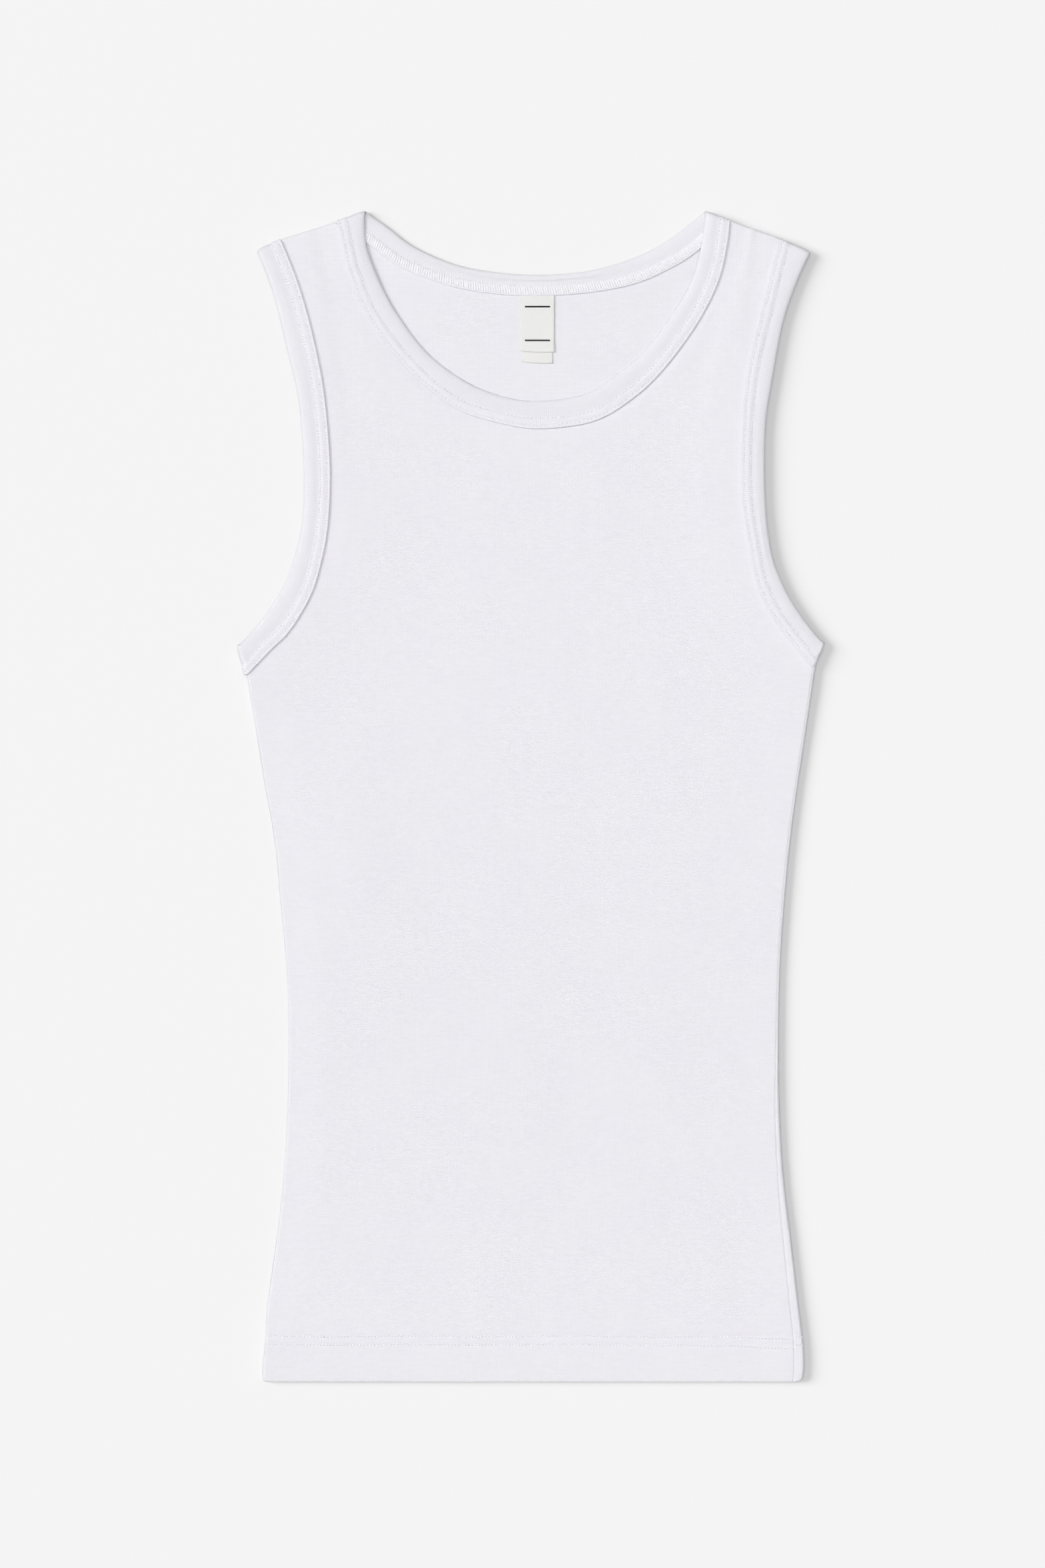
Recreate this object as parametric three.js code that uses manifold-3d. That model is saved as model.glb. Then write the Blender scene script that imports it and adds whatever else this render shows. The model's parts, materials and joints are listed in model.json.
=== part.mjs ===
// A ribbed cotton tank top lying flat with its front up, in millimetres.
// X runs across the chest, +Y from hem to neck, +Z is up. The origin is under the middle of the garment.
import * as THREE from 'three';
import { mergeVertices } from 'three/addons/utils/BufferGeometryUtils.js';
import Module from 'manifold-3d';

const wasm = await Module();
wasm.setup();

// Driving dimensions
const cloth = 1.0; // one layer of rib
const gap = 0.3; // air between two layers that lie on each other
const hemEdge = -316.3;
const hemTop = -291.4; // the turned-up hem is one layer more, up to here
const loft = 0.4; // extra air between front and back in the middle
const foldWidth = 0.9; // cloth that turns round a side or shoulder fold
const foldSeat = 1.4; // how far the other layer stays inside that fold
const labelThickness = 1.0;
const labelGap = gap + 0.1;
const labelTop = 270.0;
const labelBend = 260.4; // above this height a label climbs with the back panel to its binding

const layer = cloth + gap;
const bindingStack = 2 * layer + cloth; // a binding wraps one panel: strip, panel, strip
const frontBase = bindingStack + gap; // where the front binding lies on the back one
const edgeInset = cloth + gap; // a panel's raw edge stops this far inside its binding
const endShift = 0.7 * cloth; // a binding's two halves start this far inside the fold that joins them
const endTrim = 0.06; // that fold is this much smaller than the halves all round
const bandMargin = 0.6; // a panel stays level this far past the binding's laid edge
const frontFall = 26; // distance in which the front settles from a binding to the body
const backFall = 8;
const scoopFall = 0.6 * frontFall; // the same below the front neck binding
const middleX = 4; // the lowest point of the neck scoop
const foldClear = 0.35; // underside of a fold that turns down, above the floor

// A table with named columns becomes a list of rows
function table(columns, rows) {
  return rows.map((row) => Object.fromEntries(columns.map((name, i) => [name, row[i]])));
}

// Side edges of the body, and how far the right side seam lies inside the right edge
const sides = table(['y', 'left', 'right', 'seam'], [
  [hemEdge, -145.1, 144.6, 3.4],
  [-304.4, -144.9, 147.6, 5.6],
  [-275.6, -142.8, 144.7, 4.8],
  [-239.6, -137.6, 140.6, 4.3],
  [-203.6, -133.7, 136.3, 3.1],
  [-167.6, -131.8, 134.3, 2.4],
  [-131.6, -131.2, 133.9, 1.5],
  [-95.6, -132.0, 134.5, 1.4],
  [-59.6, -135.4, 136.8, 1.4],
  [-23.6, -138.7, 140.2, 1.4],
  [12.4, -145.2, 145.1, 1.4],
  [40.0, -149.4, 149.4, 1.4],
  [54.0, -152.0, 151.5, 1.4],
]);

// Bindings: the folded edge, and the edge that is laid and stitched on the panel, from armpit to shoulder
const armholeLeft = table(['edgeX', 'edgeY', 'laidX', 'laidY'], [
  [-158.2, 81.2, -154.8, 63.9],
  [-150.5, 89.5, -141.0, 78.5],
  [-143.1, 98.8, -130.5, 89.0],
  [-134.0, 113.2, -119.8, 106.5],
  [-128.6, 127.6, -114.2, 122.4],
  [-123.7, 148.0, -109.6, 146.5],
  [-123.0, 178.0, -108.5, 178.5],
  [-125.7, 214.0, -111.6, 216.5],
  [-132.2, 242.8, -117.4, 247.0],
  [-139.4, 271.6, -125.3, 275.5],
  [-148.3, 295.0, -135.4, 301.1],
]);
const armholeRight = table(['edgeX', 'edgeY', 'laidX', 'laidY'], [
  [158.2, 82.6, 152.5, 68.0],
  [150.4, 91.6, 140.6, 82.6],
  [140.5, 106.0, 129.3, 98.0],
  [133.6, 120.4, 121.4, 115.5],
  [129.4, 135.0, 118.0, 132.0],
  [126.6, 161.0, 113.5, 161.0],
  [126.8, 199.6, 113.7, 200.5],
  [131.1, 228.4, 117.0, 231.5],
  [136.7, 257.2, 124.0, 261.0],
  [144.2, 278.8, 129.5, 283.0],
  [151.2, 293.9, 134.3, 301.6],
]);

// The front neck binding has its own height above the floor. It runs from left shoulder to right
const neckFront = table(['edgeX', 'edgeY', 'laidX', 'laidY', 'base'], [
  [-89.6, 316.3, -105.1, 310.5, 3.9],
  [-89.4, 300.4, -102.4, 299.0, 4.3],
  [-85.0, 286.0, -98.4, 282.6, 4.3],
  [-74.5, 264.4, -87.5, 257.2, 3.9],
  [-56.5, 240.3, -67.2, 231.2, 3.1],
  [-34.9, 224.1, -42.1, 210.1, 2.2],
  [-13.3, 215.8, -15.7, 201.2, 1.7],
  [6.0, 213.9, 6.0, 198.6, 1.6],
  [29.9, 218.0, 34.2, 202.7, 1.6],
  [47.0, 228.8, 56.0, 215.7, 1.7],
  [62.0, 241.7, 73.0, 232.3, 2.1],
  [77.8, 263.0, 90.5, 256.5, 2.8],
  [87.6, 281.5, 101.3, 278.5, 3.9],
  [92.0, 300.0, 106.0, 298.5, 3.9],
  [94.2, 316.3, 107.3, 311.0, 3.9],
]);
const neckBack = table(['edgeX', 'edgeY', 'laidX', 'laidY', 'base'], [
  [-89.6, 316.3, -105.1, 310.5, 0],
  [-78.1, 308.3, -86.4, 297.0, 0],
  [-63.7, 297.5, -70.5, 285.8, 0],
  [-42.1, 288.0, -45.5, 276.2, 0],
  [-20.5, 283.7, -22.0, 271.7, 0],
  [4.0, 282.1, 4.0, 270.4, 0],
  [29.9, 284.0, 31.5, 272.2, 0],
  [51.5, 289.7, 55.5, 276.8, 0],
  [67.0, 296.5, 73.5, 284.4, 0],
  [80.3, 305.1, 89.0, 294.0, 0],
  [94.2, 316.3, 107.3, 311.0, 0],
]);

// Soft troughs (depth below 0) and ridges of the front, each an ellipse turned by its angle from +Y
const creases = table(['x', 'y', 'angle', 'length', 'width', 'depth'], [
  [100, 262, -14, 44, 7, -0.5],
  [112, 258, -16, 40, 8, 0.4],
  [-103, 240, 12, 40, 9, -0.4],
  [-92, 92, 62, 50, 14, -0.4],
  [-72, 112, 60, 46, 16, 0.4],
  [-90, -60, 8, 80, 20, 0.5],
  [-38, -276, 0, 26, 6, -0.35],
  [-20, -272, 4, 30, 5, 0.3],
  [2, -275, -3, 24, 6, -0.35],
  [24, -270, 2, 28, 6, 0.3],
  [46, -277, -5, 22, 6, -0.3],
  [112, -262, 14, 40, 10, -0.35],
]);

// Labels inside the back neck
const labels = table(['name', 'left', 'right', 'bottom', 'level'], [
  ['size_label', -5.0, 11.8, 234.4, 0],
  ['neck_label', -5.8, 12.6, 240.3, 1],
]);

// Row places: body rows up the sides, then shares of the armhole up to the neck scoop, then up the straps
const bodyRows = [hemEdge, hemEdge + 3, hemTop - 0.6, hemTop + 0.6, -276, -262, -239.6, -203.6,
  -167.6, -131.6, -95.6, -59.6, -23.6, 12.4, 34, 46, 54];
const armRowCount = 9;
const strapRowCount = 10;
const nearEdge = [0, 0.35, foldWidth, foldWidth + 0.25];
const columnCount = 8;

const smooth = (from, to, x) => THREE.MathUtils.smoothstep(x, from, to);
const mix = THREE.MathUtils.lerp;

function curveOf(rows, xName, yName) {
  return new THREE.SplineCurve(rows.map((row) => new THREE.Vector2(row[xName], row[yName])));
}

// One column of a table at height y, or at a share t of the table
function columnAtY(rows, name, y) {
  const next = Math.max(1, rows.findIndex((row) => row.y >= y));
  const upper = y > rows.at(-1).y ? rows.length - 1 : next;
  const [a, b] = [rows[upper - 1], rows[upper]];
  return mix(a[name], b[name], (y - a.y) / (b.y - a.y));
}

function columnAtShare(rows, name, t) {
  const place = t * (rows.length - 1);
  const i = Math.min(Math.floor(place), rows.length - 2);
  return mix(rows[i][name], rows[i + 1][name], place - i);
}

// A binding's path: at a share t it gives the folded edge, the laid edge and points between and beyond them
function pathOf(rows) {
  const edge = curveOf(rows, 'edgeX', 'edgeY');
  const laid = curveOf(rows, 'laidX', 'laidY');
  return {
    rows,
    laidLine: laid.getPoints(60),
    at(t) {
      const from = edge.getPoint(t);
      const to = laid.getPoint(t);
      const width = from.distanceTo(to);
      const inward = to.clone().sub(from).divideScalar(width);
      const point = (inset) => from.clone().addScaledVector(inward, inset);
      return { from, to, width, inward, point };
    },
  };
}

const paths = {
  left: pathOf(armholeLeft),
  right: pathOf(armholeRight),
  neckFront: pathOf(neckFront),
  neckBack: pathOf(neckBack),
};

function distanceTo(line, x, y) {
  let best = Infinity;
  for (let i = 1; i < line.length; i += 1) {
    const [a, b] = [line[i - 1], line[i]];
    const [dx, dy] = [b.x - a.x, b.y - a.y];
    const t = THREE.MathUtils.clamp(((x - a.x) * dx + (y - a.y) * dy) / (dx * dx + dy * dy), 0, 1);
    best = Math.min(best, Math.hypot(x - a.x - t * dx, y - a.y - t * dy));
  }
  return best;
}

// 1 beside a binding, falling to 0 over a distance
function rise(path, x, y, fall) {
  return 1 - smooth(0, fall, distanceTo(path.laidLine, x, y) - bandMargin - 0.2);
}

// Height of the front neck binding nearest to a point
function neckBaseAt(x, y) {
  const line = paths.neckFront.laidLine;
  let nearest = 0;
  line.forEach((p, i) => {
    if (Math.hypot(p.x - x, p.y - y) < Math.hypot(line[nearest].x - x, line[nearest].y - y)) nearest = i;
  });
  return columnAtShare(neckFront, 'base', nearest / (line.length - 1));
}

function creaseAt(x, y) {
  return creases.reduce((sum, crease) => {
    const turn = THREE.MathUtils.degToRad(crease.angle);
    const along = (y - crease.y) * Math.cos(turn) - (x - crease.x) * Math.sin(turn);
    const across = (x - crease.x) * Math.cos(turn) + (y - crease.y) * Math.sin(turn);
    return sum + crease.depth * Math.exp(-((along / crease.length) ** 2) - (across / crease.width) ** 2);
  }, 0);
}

// Upper and lower faces of each panel at a point of the plan
function backFaces(x, y) {
  const beside = ['left', 'right', 'neckBack'].map((name) => rise(paths[name], x, y, backFall));
  const low = layer * Math.max(...beside);
  return { low, high: low + cloth + (y < hemTop ? cloth : 0) };
}

function frontFaces(x, y) {
  const hemRise = 1 - smooth(hemTop, hemTop + 32, y);
  const rest = mix(layer + loft, layer + 2 * cloth, hemRise);
  const arm = Math.max(rise(paths.left, x, y, frontFall), rise(paths.right, x, y, frontFall));
  const neck = rise(paths.neckFront, x, y, scoopFall);
  const held = Math.max(
    arm * (frontBase + layer - rest),
    neck * (neckBaseAt(x, y) + layer - rest),
    0,
  );
  const free = 1 - Math.max(arm, neck);
  const single = Math.max(rest + held + free * creaseAt(x, y), backFaces(x, y).high + gap);
  const high = single + cloth;
  return { low: y < hemTop ? high - 2 * cloth : single, high };
}

// Points from a to b: a few close to a, then wider and wider steps
function spread(a, b) {
  const length = a.distanceTo(b);
  const start = nearEdge.at(-1);
  const wide = Array.from({ length: columnCount }, (_, i) => (
    start + (length - start) * ((i + 1) / columnCount) ** 1.5
  ));
  return [...nearEdge, ...wide].map((distance) => a.clone().lerp(b, distance / length));
}

// A wall over a plan: points with a lower and an upper height, joined by triangles and closed round the rim
class Wall {
  constructor() {
    this.points = [];
    this.faces = [];
  }

  add(point, { low, high }) {
    this.points.push([point.x, point.y, low, high]);
    return this.points.length - 1;
  }

  // Joins two lists of points side by side. The second lies on the left of the first's direction
  strip(first, second) {
    for (let i = 1; i < first.length; i += 1) {
      this.faces.push([first[i - 1], first[i], second[i]], [first[i - 1], second[i], second[i - 1]]);
    }
  }

  solid() {
    const count = this.points.length;
    const positions = [
      ...this.points.flatMap(([x, y, low]) => [x, y, low]),
      ...this.points.flatMap(([x, y, , high]) => [x, y, high]),
    ];
    const triangles = [];
    const rim = new Map();
    for (const [a, b, c] of this.faces) {
      triangles.push([a + count, b + count, c + count], [a, c, b]);
      for (const [from, to] of [[a, b], [b, c], [c, a]]) {
        if (!rim.delete(`${to},${from}`)) rim.set(`${from},${to}`, [from, to]);
      }
    }
    for (const [from, to] of rim.values()) {
      triangles.push([from, to, to + count], [from, to + count, from + count]);
    }
    return solidOf(positions, triangles);
  }
}

function solidOf(positions, triangles) {
  const geometry = new THREE.BufferGeometry();
  geometry.setAttribute('position', new THREE.Float32BufferAttribute(positions, 3));
  geometry.setIndex(triangles.flat());
  const merged = mergeVertices(geometry, 1e-4);
  return new wasm.Manifold(new wasm.Mesh({
    numProp: 3,
    vertProperties: merged.attributes.position.array,
    triVerts: new Uint32Array(merged.index.array),
  }));
}

// A closed section swept through stations. A section point is [inset, height] and a station places it
function sweep(stations, sectionAt) {
  const rings = stations.map((station, i) => sectionAt(station, i).map(([inset, height]) => {
    const point = station.point(inset);
    return [point.x, point.y, height];
  }));
  const size = rings[0].length;
  const positions = rings.flat(2);
  const triangles = [];
  for (let i = 1; i < rings.length; i += 1) {
    for (let j = 0; j < size; j += 1) {
      const k = (j + 1) % size;
      const [a, b] = [(i - 1) * size + j, (i - 1) * size + k];
      const [c, d] = [i * size + k, i * size + j];
      triangles.push([a, b, c], [a, c, d]);
    }
  }
  const outline = sectionAt(stations[0], 0).map(([inset, height]) => new THREE.Vector2(inset, height));
  const turn = Math.sign(THREE.ShapeUtils.area(outline));
  const last = (rings.length - 1) * size;
  for (const corners of THREE.ShapeUtils.triangulateShape(outline, [])) {
    const sameTurn = Math.sign(THREE.ShapeUtils.area(corners.map((i) => outline[i]))) === turn;
    const [a, b, c] = sameTurn ? corners : [...corners].reverse();
    triangles.push([a, c, b], [last + a, last + b, last + c]);
  }
  const solid = solidOf(positions, triangles);
  return solid.volume() > 0 ? solid : solidOf(positions, triangles.map(([a, b, c]) => [a, c, b]));
}

// The end of a binding goes round the fold of the garment, from front to back
function endLine(path, t) {
  const { from, to } = path.at(t);
  const probe = path.at(t === 0 ? 0.02 : 0.98).from;
  const along = to.clone().sub(from).normalize();
  const inward = new THREE.Vector2(-along.y, along.x);
  if (inward.dot(probe.clone().sub(from)) < 0) inward.negate();
  return { from, to, along, inward };
}

function endFold(path, t, top, margin) {
  const { from, to, along, inward } = endLine(path, t);
  const reach = margin > 0 ? margin + 0.5 : -endTrim;
  const ends = [from.clone().addScaledVector(along, -reach), to.clone().addScaledVector(along, reach)];
  const stations = ends.map((end) => ({ point: (inset) => end.clone().addScaledVector(inward, inset) }));
  const depth = cloth + margin;
  const rounded = [
    [depth, endTrim], [0.5, 0.15], [0.12, 0.7], [0, 0.5 * top],
    [0.12, top - 0.7], [0.5, top - 0.15], [depth, top - endTrim],
  ];
  const grown = [[depth, -1], [-2, -1], [-2, top + 1], [depth, top + 1]];
  return sweep(stations, () => (margin > 0 ? grown : rounded));
}

// A strip folded over an edge: under layer, fold and upper layer, with room for the panel between
function bindingSection(width, base) {
  const top = base + bindingStack;
  const middle = base + 0.5 * bindingStack;
  return [
    [width, base], [cloth, base], [0.35 * cloth, base + 0.35], [0, middle], [0.35 * cloth, top - 0.35],
    [cloth, top], [width, top], [width, top - cloth], [cloth, top - cloth], [cloth, base + cloth],
    [width, base + cloth],
  ];
}

// Shares of a path, with its two ends drawn a little inside the end folds
function bindingHalf(path, shares, baseAt) {
  const stations = shares.map((t) => {
    const { width, point } = path.at(t);
    const atEnd = t === 0 || t === 1;
    const shift = atEnd ? endLine(path, t).inward.multiplyScalar(endShift) : new THREE.Vector2();
    return { t, width, point: (inset) => point(inset).add(shift) };
  });
  return sweep(stations, ({ t, width }) => bindingSection(width, baseAt(t)));
}

function steps(from, to, count) {
  return Array.from({ length: count + 1 }, (_, i) => mix(from, to, i / count));
}

// Where a panel's rows meet its armholes and its neck
function rowShares(scoopShare) {
  const arm = steps(0, scoopShare, armRowCount);
  const strap = steps(scoopShare, 1, strapRowCount).slice(1);
  return { arm, strap, all: [...arm, ...strap], neck: steps(0, 1, 2 * strapRowCount) };
}

const frontShares = rowShares(0.65);
const backShares = rowShares(0.84);

// A panel's plan. The core reaches from the sides to the bindings, and bands lie inside the bindings
function panel({ neck, shares, faces, fall, sideInset, shoulderRows, fold }) {
  const wall = new Wall();
  const beyond = (station) => station.point(station.width + bandMargin);
  const put = (point, marks = {}) => wall.add(point, fold(point, faces(point.x, point.y), marks));
  const row = (a, b, marks) => spread(a, b).map((point, column) => put(point, { ...marks, column }));

  // Body rows, each in two halves that share the middle point
  const body = bodyRows.map((y) => {
    const inset = sideInset(y);
    return {
      left: new THREE.Vector2(columnAtY(sides, 'left', y) + inset.left, y),
      middle: new THREE.Vector2(middleX, y),
      right: new THREE.Vector2(columnAtY(sides, 'right', y) - inset.right, y),
      marks: { side: true, y },
    };
  });
  const scoop = beyond(neck.at(0.5));
  shares.arm.forEach((t, i) => {
    const [left, right] = [beyond(paths.left.at(t)), beyond(paths.right.at(t))];
    const start = 0.5 * (left.y + right.y);
    const middle = new THREE.Vector2(middleX, mix(start, scoop.y - fall, i / (armRowCount - 1)));
    if (i === armRowCount) middle.copy(scoop);
    if (i === 0) {
      middle.y = start;
      const inset = sideInset(start);
      left.x += inset.left;
      right.x -= inset.right;
      const lift = new THREE.Vector2(0, -foldWidth);
      body.push({
        left: left.clone().add(lift),
        middle: middle.clone().add(lift),
        right: right.clone().add(lift),
        marks: { side: true, y: start },
      });
    }
    body.push({ left, middle, right, marks: {} });
  });
  const halves = body.map(({ left, middle, right, marks }) => {
    const leftRow = row(left, middle, { ...marks, hand: 'left' });
    const rightRow = row(right, middle, { ...marks, hand: 'right' });
    rightRow[rightRow.length - 1] = leftRow.at(-1);
    return { leftRow, rightRow };
  });
  for (let i = 1; i < halves.length; i += 1) {
    wall.strip(halves[i - 1].leftRow, halves[i].leftRow);
    wall.strip([...halves[i - 1].rightRow].reverse(), [...halves[i].rightRow].reverse());
  }

  // Strap rows from armhole to neck, then those close to the shoulder fold
  const ends = {
    left: { arm: [], neck: [] },
    right: { arm: [], neck: [] },
  };
  for (const hand of ['left', 'right']) {
    const neckEnd = hand === 'left' ? 0 : 1;
    const shoulder = endLine(neck, neckEnd);
    let previous = halves.at(-1)[`${hand}Row`];
    const strapRows = shares.strap.slice(0, -1).map((t, i) => ({
      arm: beyond(paths[hand].at(t)),
      neck: beyond(neck.at(mix(0.5, neckEnd, (i + 1) / strapRowCount))),
      marks: {},
    }));
    for (const inset of shoulderRows) {
      const shift = shoulder.inward.clone().multiplyScalar(inset);
      strapRows.push({
        arm: beyond(paths[hand].at(1)).add(shift),
        neck: beyond(neck.at(neckEnd)).add(shift),
        marks: { shoulder: inset },
      });
    }
    for (const strapRow of strapRows) {
      const current = row(strapRow.arm, strapRow.neck, strapRow.marks);
      if (hand === 'left') wall.strip(previous, current);
      else wall.strip([...previous].reverse(), [...current].reverse());
      ends[hand].arm.push(current[0]);
      ends[hand].neck.push(current.at(-1));
      previous = current;
    }
  }

  // Bands that lie inside the bindings
  const bandPoint = (station, shift, base, marks) => wall.add(
    station.point(edgeInset).add(shift),
    fold(station.point(edgeInset), { low: base + layer, high: base + layer + cloth }, marks),
  );
  const none = new THREE.Vector2();
  const base = neck === paths.neckFront ? frontBase : 0;
  for (const hand of ['left', 'right']) {
    const shoulder = endLine(neck, hand === 'left' ? 0 : 1);
    const besideArm = halves.slice(-armRowCount - 1).map((half) => half[`${hand}Row`][0]);
    const inner = [...besideArm, ...ends[hand].arm];
    const tip = endLine(paths[hand], 0).inward.multiplyScalar(endShift);
    const outer = shares.all.slice(0, -1).map((t) => (
      bandPoint(paths[hand].at(t), t === 0 ? tip : none, base, {})
    ));
    for (const inset of shoulderRows) {
      const shift = shoulder.inward.clone().multiplyScalar(inset);
      outer.push(bandPoint(paths[hand].at(1), shift, base, { shoulder: inset }));
    }
    if (hand === 'left') wall.strip(inner, outer);
    else wall.strip(outer, inner);
  }
  const neckLine = [...[...ends.left.neck].reverse(), halves.at(-1).leftRow.at(-1), ...ends.right.neck];
  const neckOuter = [];
  const shoulderBand = (end, inset) => {
    const shift = endLine(neck, end).inward.clone().multiplyScalar(inset);
    return bandPoint(neck.at(end), shift, columnAtShare(neck.rows, 'base', end), { shoulder: inset });
  };
  [...shoulderRows].reverse().forEach((inset) => neckOuter.push(shoulderBand(0, inset)));
  shares.neck.slice(1, -1).forEach((t) => (
    neckOuter.push(bandPoint(neck.at(t), none, columnAtShare(neck.rows, 'base', t), {}))
  ));
  shoulderRows.forEach((inset) => neckOuter.push(shoulderBand(1, inset)));
  wall.strip(neckLine, neckOuter);
  return wall.solid();
}

// Rounds the outer corners of a fold by the distance from its outermost line
function rounding(distance) {
  const share = 1 - Math.min(distance / foldWidth, 1);
  return 0.7 * share * share;
}

const seatOf = (y) => Math.max(foldSeat, columnAtY(sides, 'seam', y));

function frontPanel() {
  return panel({
    neck: paths.neckFront,
    shares: frontShares,
    faces: frontFaces,
    fall: scoopFall,
    sideInset: (y) => ({ left: 0, right: seatOf(y) }),
    shoulderRows: [foldWidth + 0.25, foldWidth, 0.35, 0],
    fold(point, { low, high }, { side, hand, column, shoulder }) {
      const distance = side && hand === 'left' ? nearEdge[column] : shoulder;
      if (distance === undefined || distance > foldWidth) return { low, high };
      return { low: foldClear + rounding(distance), high: high - rounding(distance) };
    },
  });
}

function backPanel() {
  return panel({
    neck: paths.neckBack,
    shares: backShares,
    faces: backFaces,
    fall: backFall,
    sideInset: () => ({ left: foldSeat, right: 0 }),
    shoulderRows: [foldSeat],
    fold(point, { low, high }, { side, hand, column, y }) {
      if (!side || hand !== 'right' || !(column < nearEdge.length - 1)) return { low, high };
      const distance = nearEdge[column];
      const top = frontFaces(point.x, y).high;
      return { low: low + rounding(distance), high: top - rounding(distance) };
    },
  });
}

const endTop = frontBase + bindingStack;

function binding(front, back, frontBaseAt, backBaseAt, frontSteps, backSteps) {
  return bindingHalf(front, frontSteps, frontBaseAt)
    .add(bindingHalf(back, backSteps, backBaseAt))
    .add(endFold(front, 0, endTop, 0))
    .add(endFold(front, 1, endTop, 0));
}

const endCuts = ['left', 'right', 'neckFront']
  .flatMap((name) => [endFold(paths[name], 0, endTop, gap), endFold(paths[name], 1, endTop, gap)])
  .reduce((all, cut) => all.add(cut));

// A label follows the back panel and stops at the binding it is sewn under
function label({ left, right, bottom, level }) {
  const wall = new Wall();
  const rows = [bottom, labelBend, labelTop].map((y) => (
    [left, 0.5 * (left + right), right].map((x) => {
      const low = backFaces(x, y).high + labelGap + level * (labelThickness + gap);
      return wall.add(new THREE.Vector2(x, y), { low, high: low + labelThickness });
    })
  ));
  for (let i = 1; i < rows.length; i += 1) wall.strip(rows[i - 1], rows[i]);
  return wall.solid();
}

const rib = new THREE.MeshStandardMaterial({ color: 0xecebf0, roughness: 0.92, metalness: 0 });
const woven = new THREE.MeshStandardMaterial({ color: 0xf1efe9, roughness: 0.75, metalness: 0 });

function meshOf(name, solid, material) {
  const { vertProperties, triVerts } = solid.getMesh();
  const geometry = new THREE.BufferGeometry();
  geometry.setAttribute('position', new THREE.Float32BufferAttribute(vertProperties, 3));
  geometry.setIndex(Array.from(triVerts));
  geometry.computeVertexNormals();
  const mesh = new THREE.Mesh(geometry, material);
  mesh.name = name;
  return mesh;
}

const tankTop = new THREE.Group();
const armFrontBase = () => frontBase;
const floorBase = () => 0;
const neckFrontBase = (t) => columnAtShare(neckFront, 'base', t);
tankTop.add(
  meshOf('back_panel', backPanel().subtract(endCuts), rib),
  meshOf('front_panel', frontPanel().subtract(endCuts), rib.clone()),
  meshOf('neck_binding', binding(
    paths.neckFront, paths.neckBack, neckFrontBase, floorBase, frontShares.neck, backShares.neck,
  ), rib.clone()),
);
for (const hand of ['left', 'right']) {
  tankTop.add(meshOf(`armhole_binding_${hand}`, binding(
    paths[hand], paths[hand], armFrontBase, floorBase, frontShares.all, backShares.all,
  ), rib.clone()));
}
for (const row of labels) tankTop.add(meshOf(row.name, label(row), woven.clone()));

export default tankTop;
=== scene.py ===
import json
import math

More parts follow.
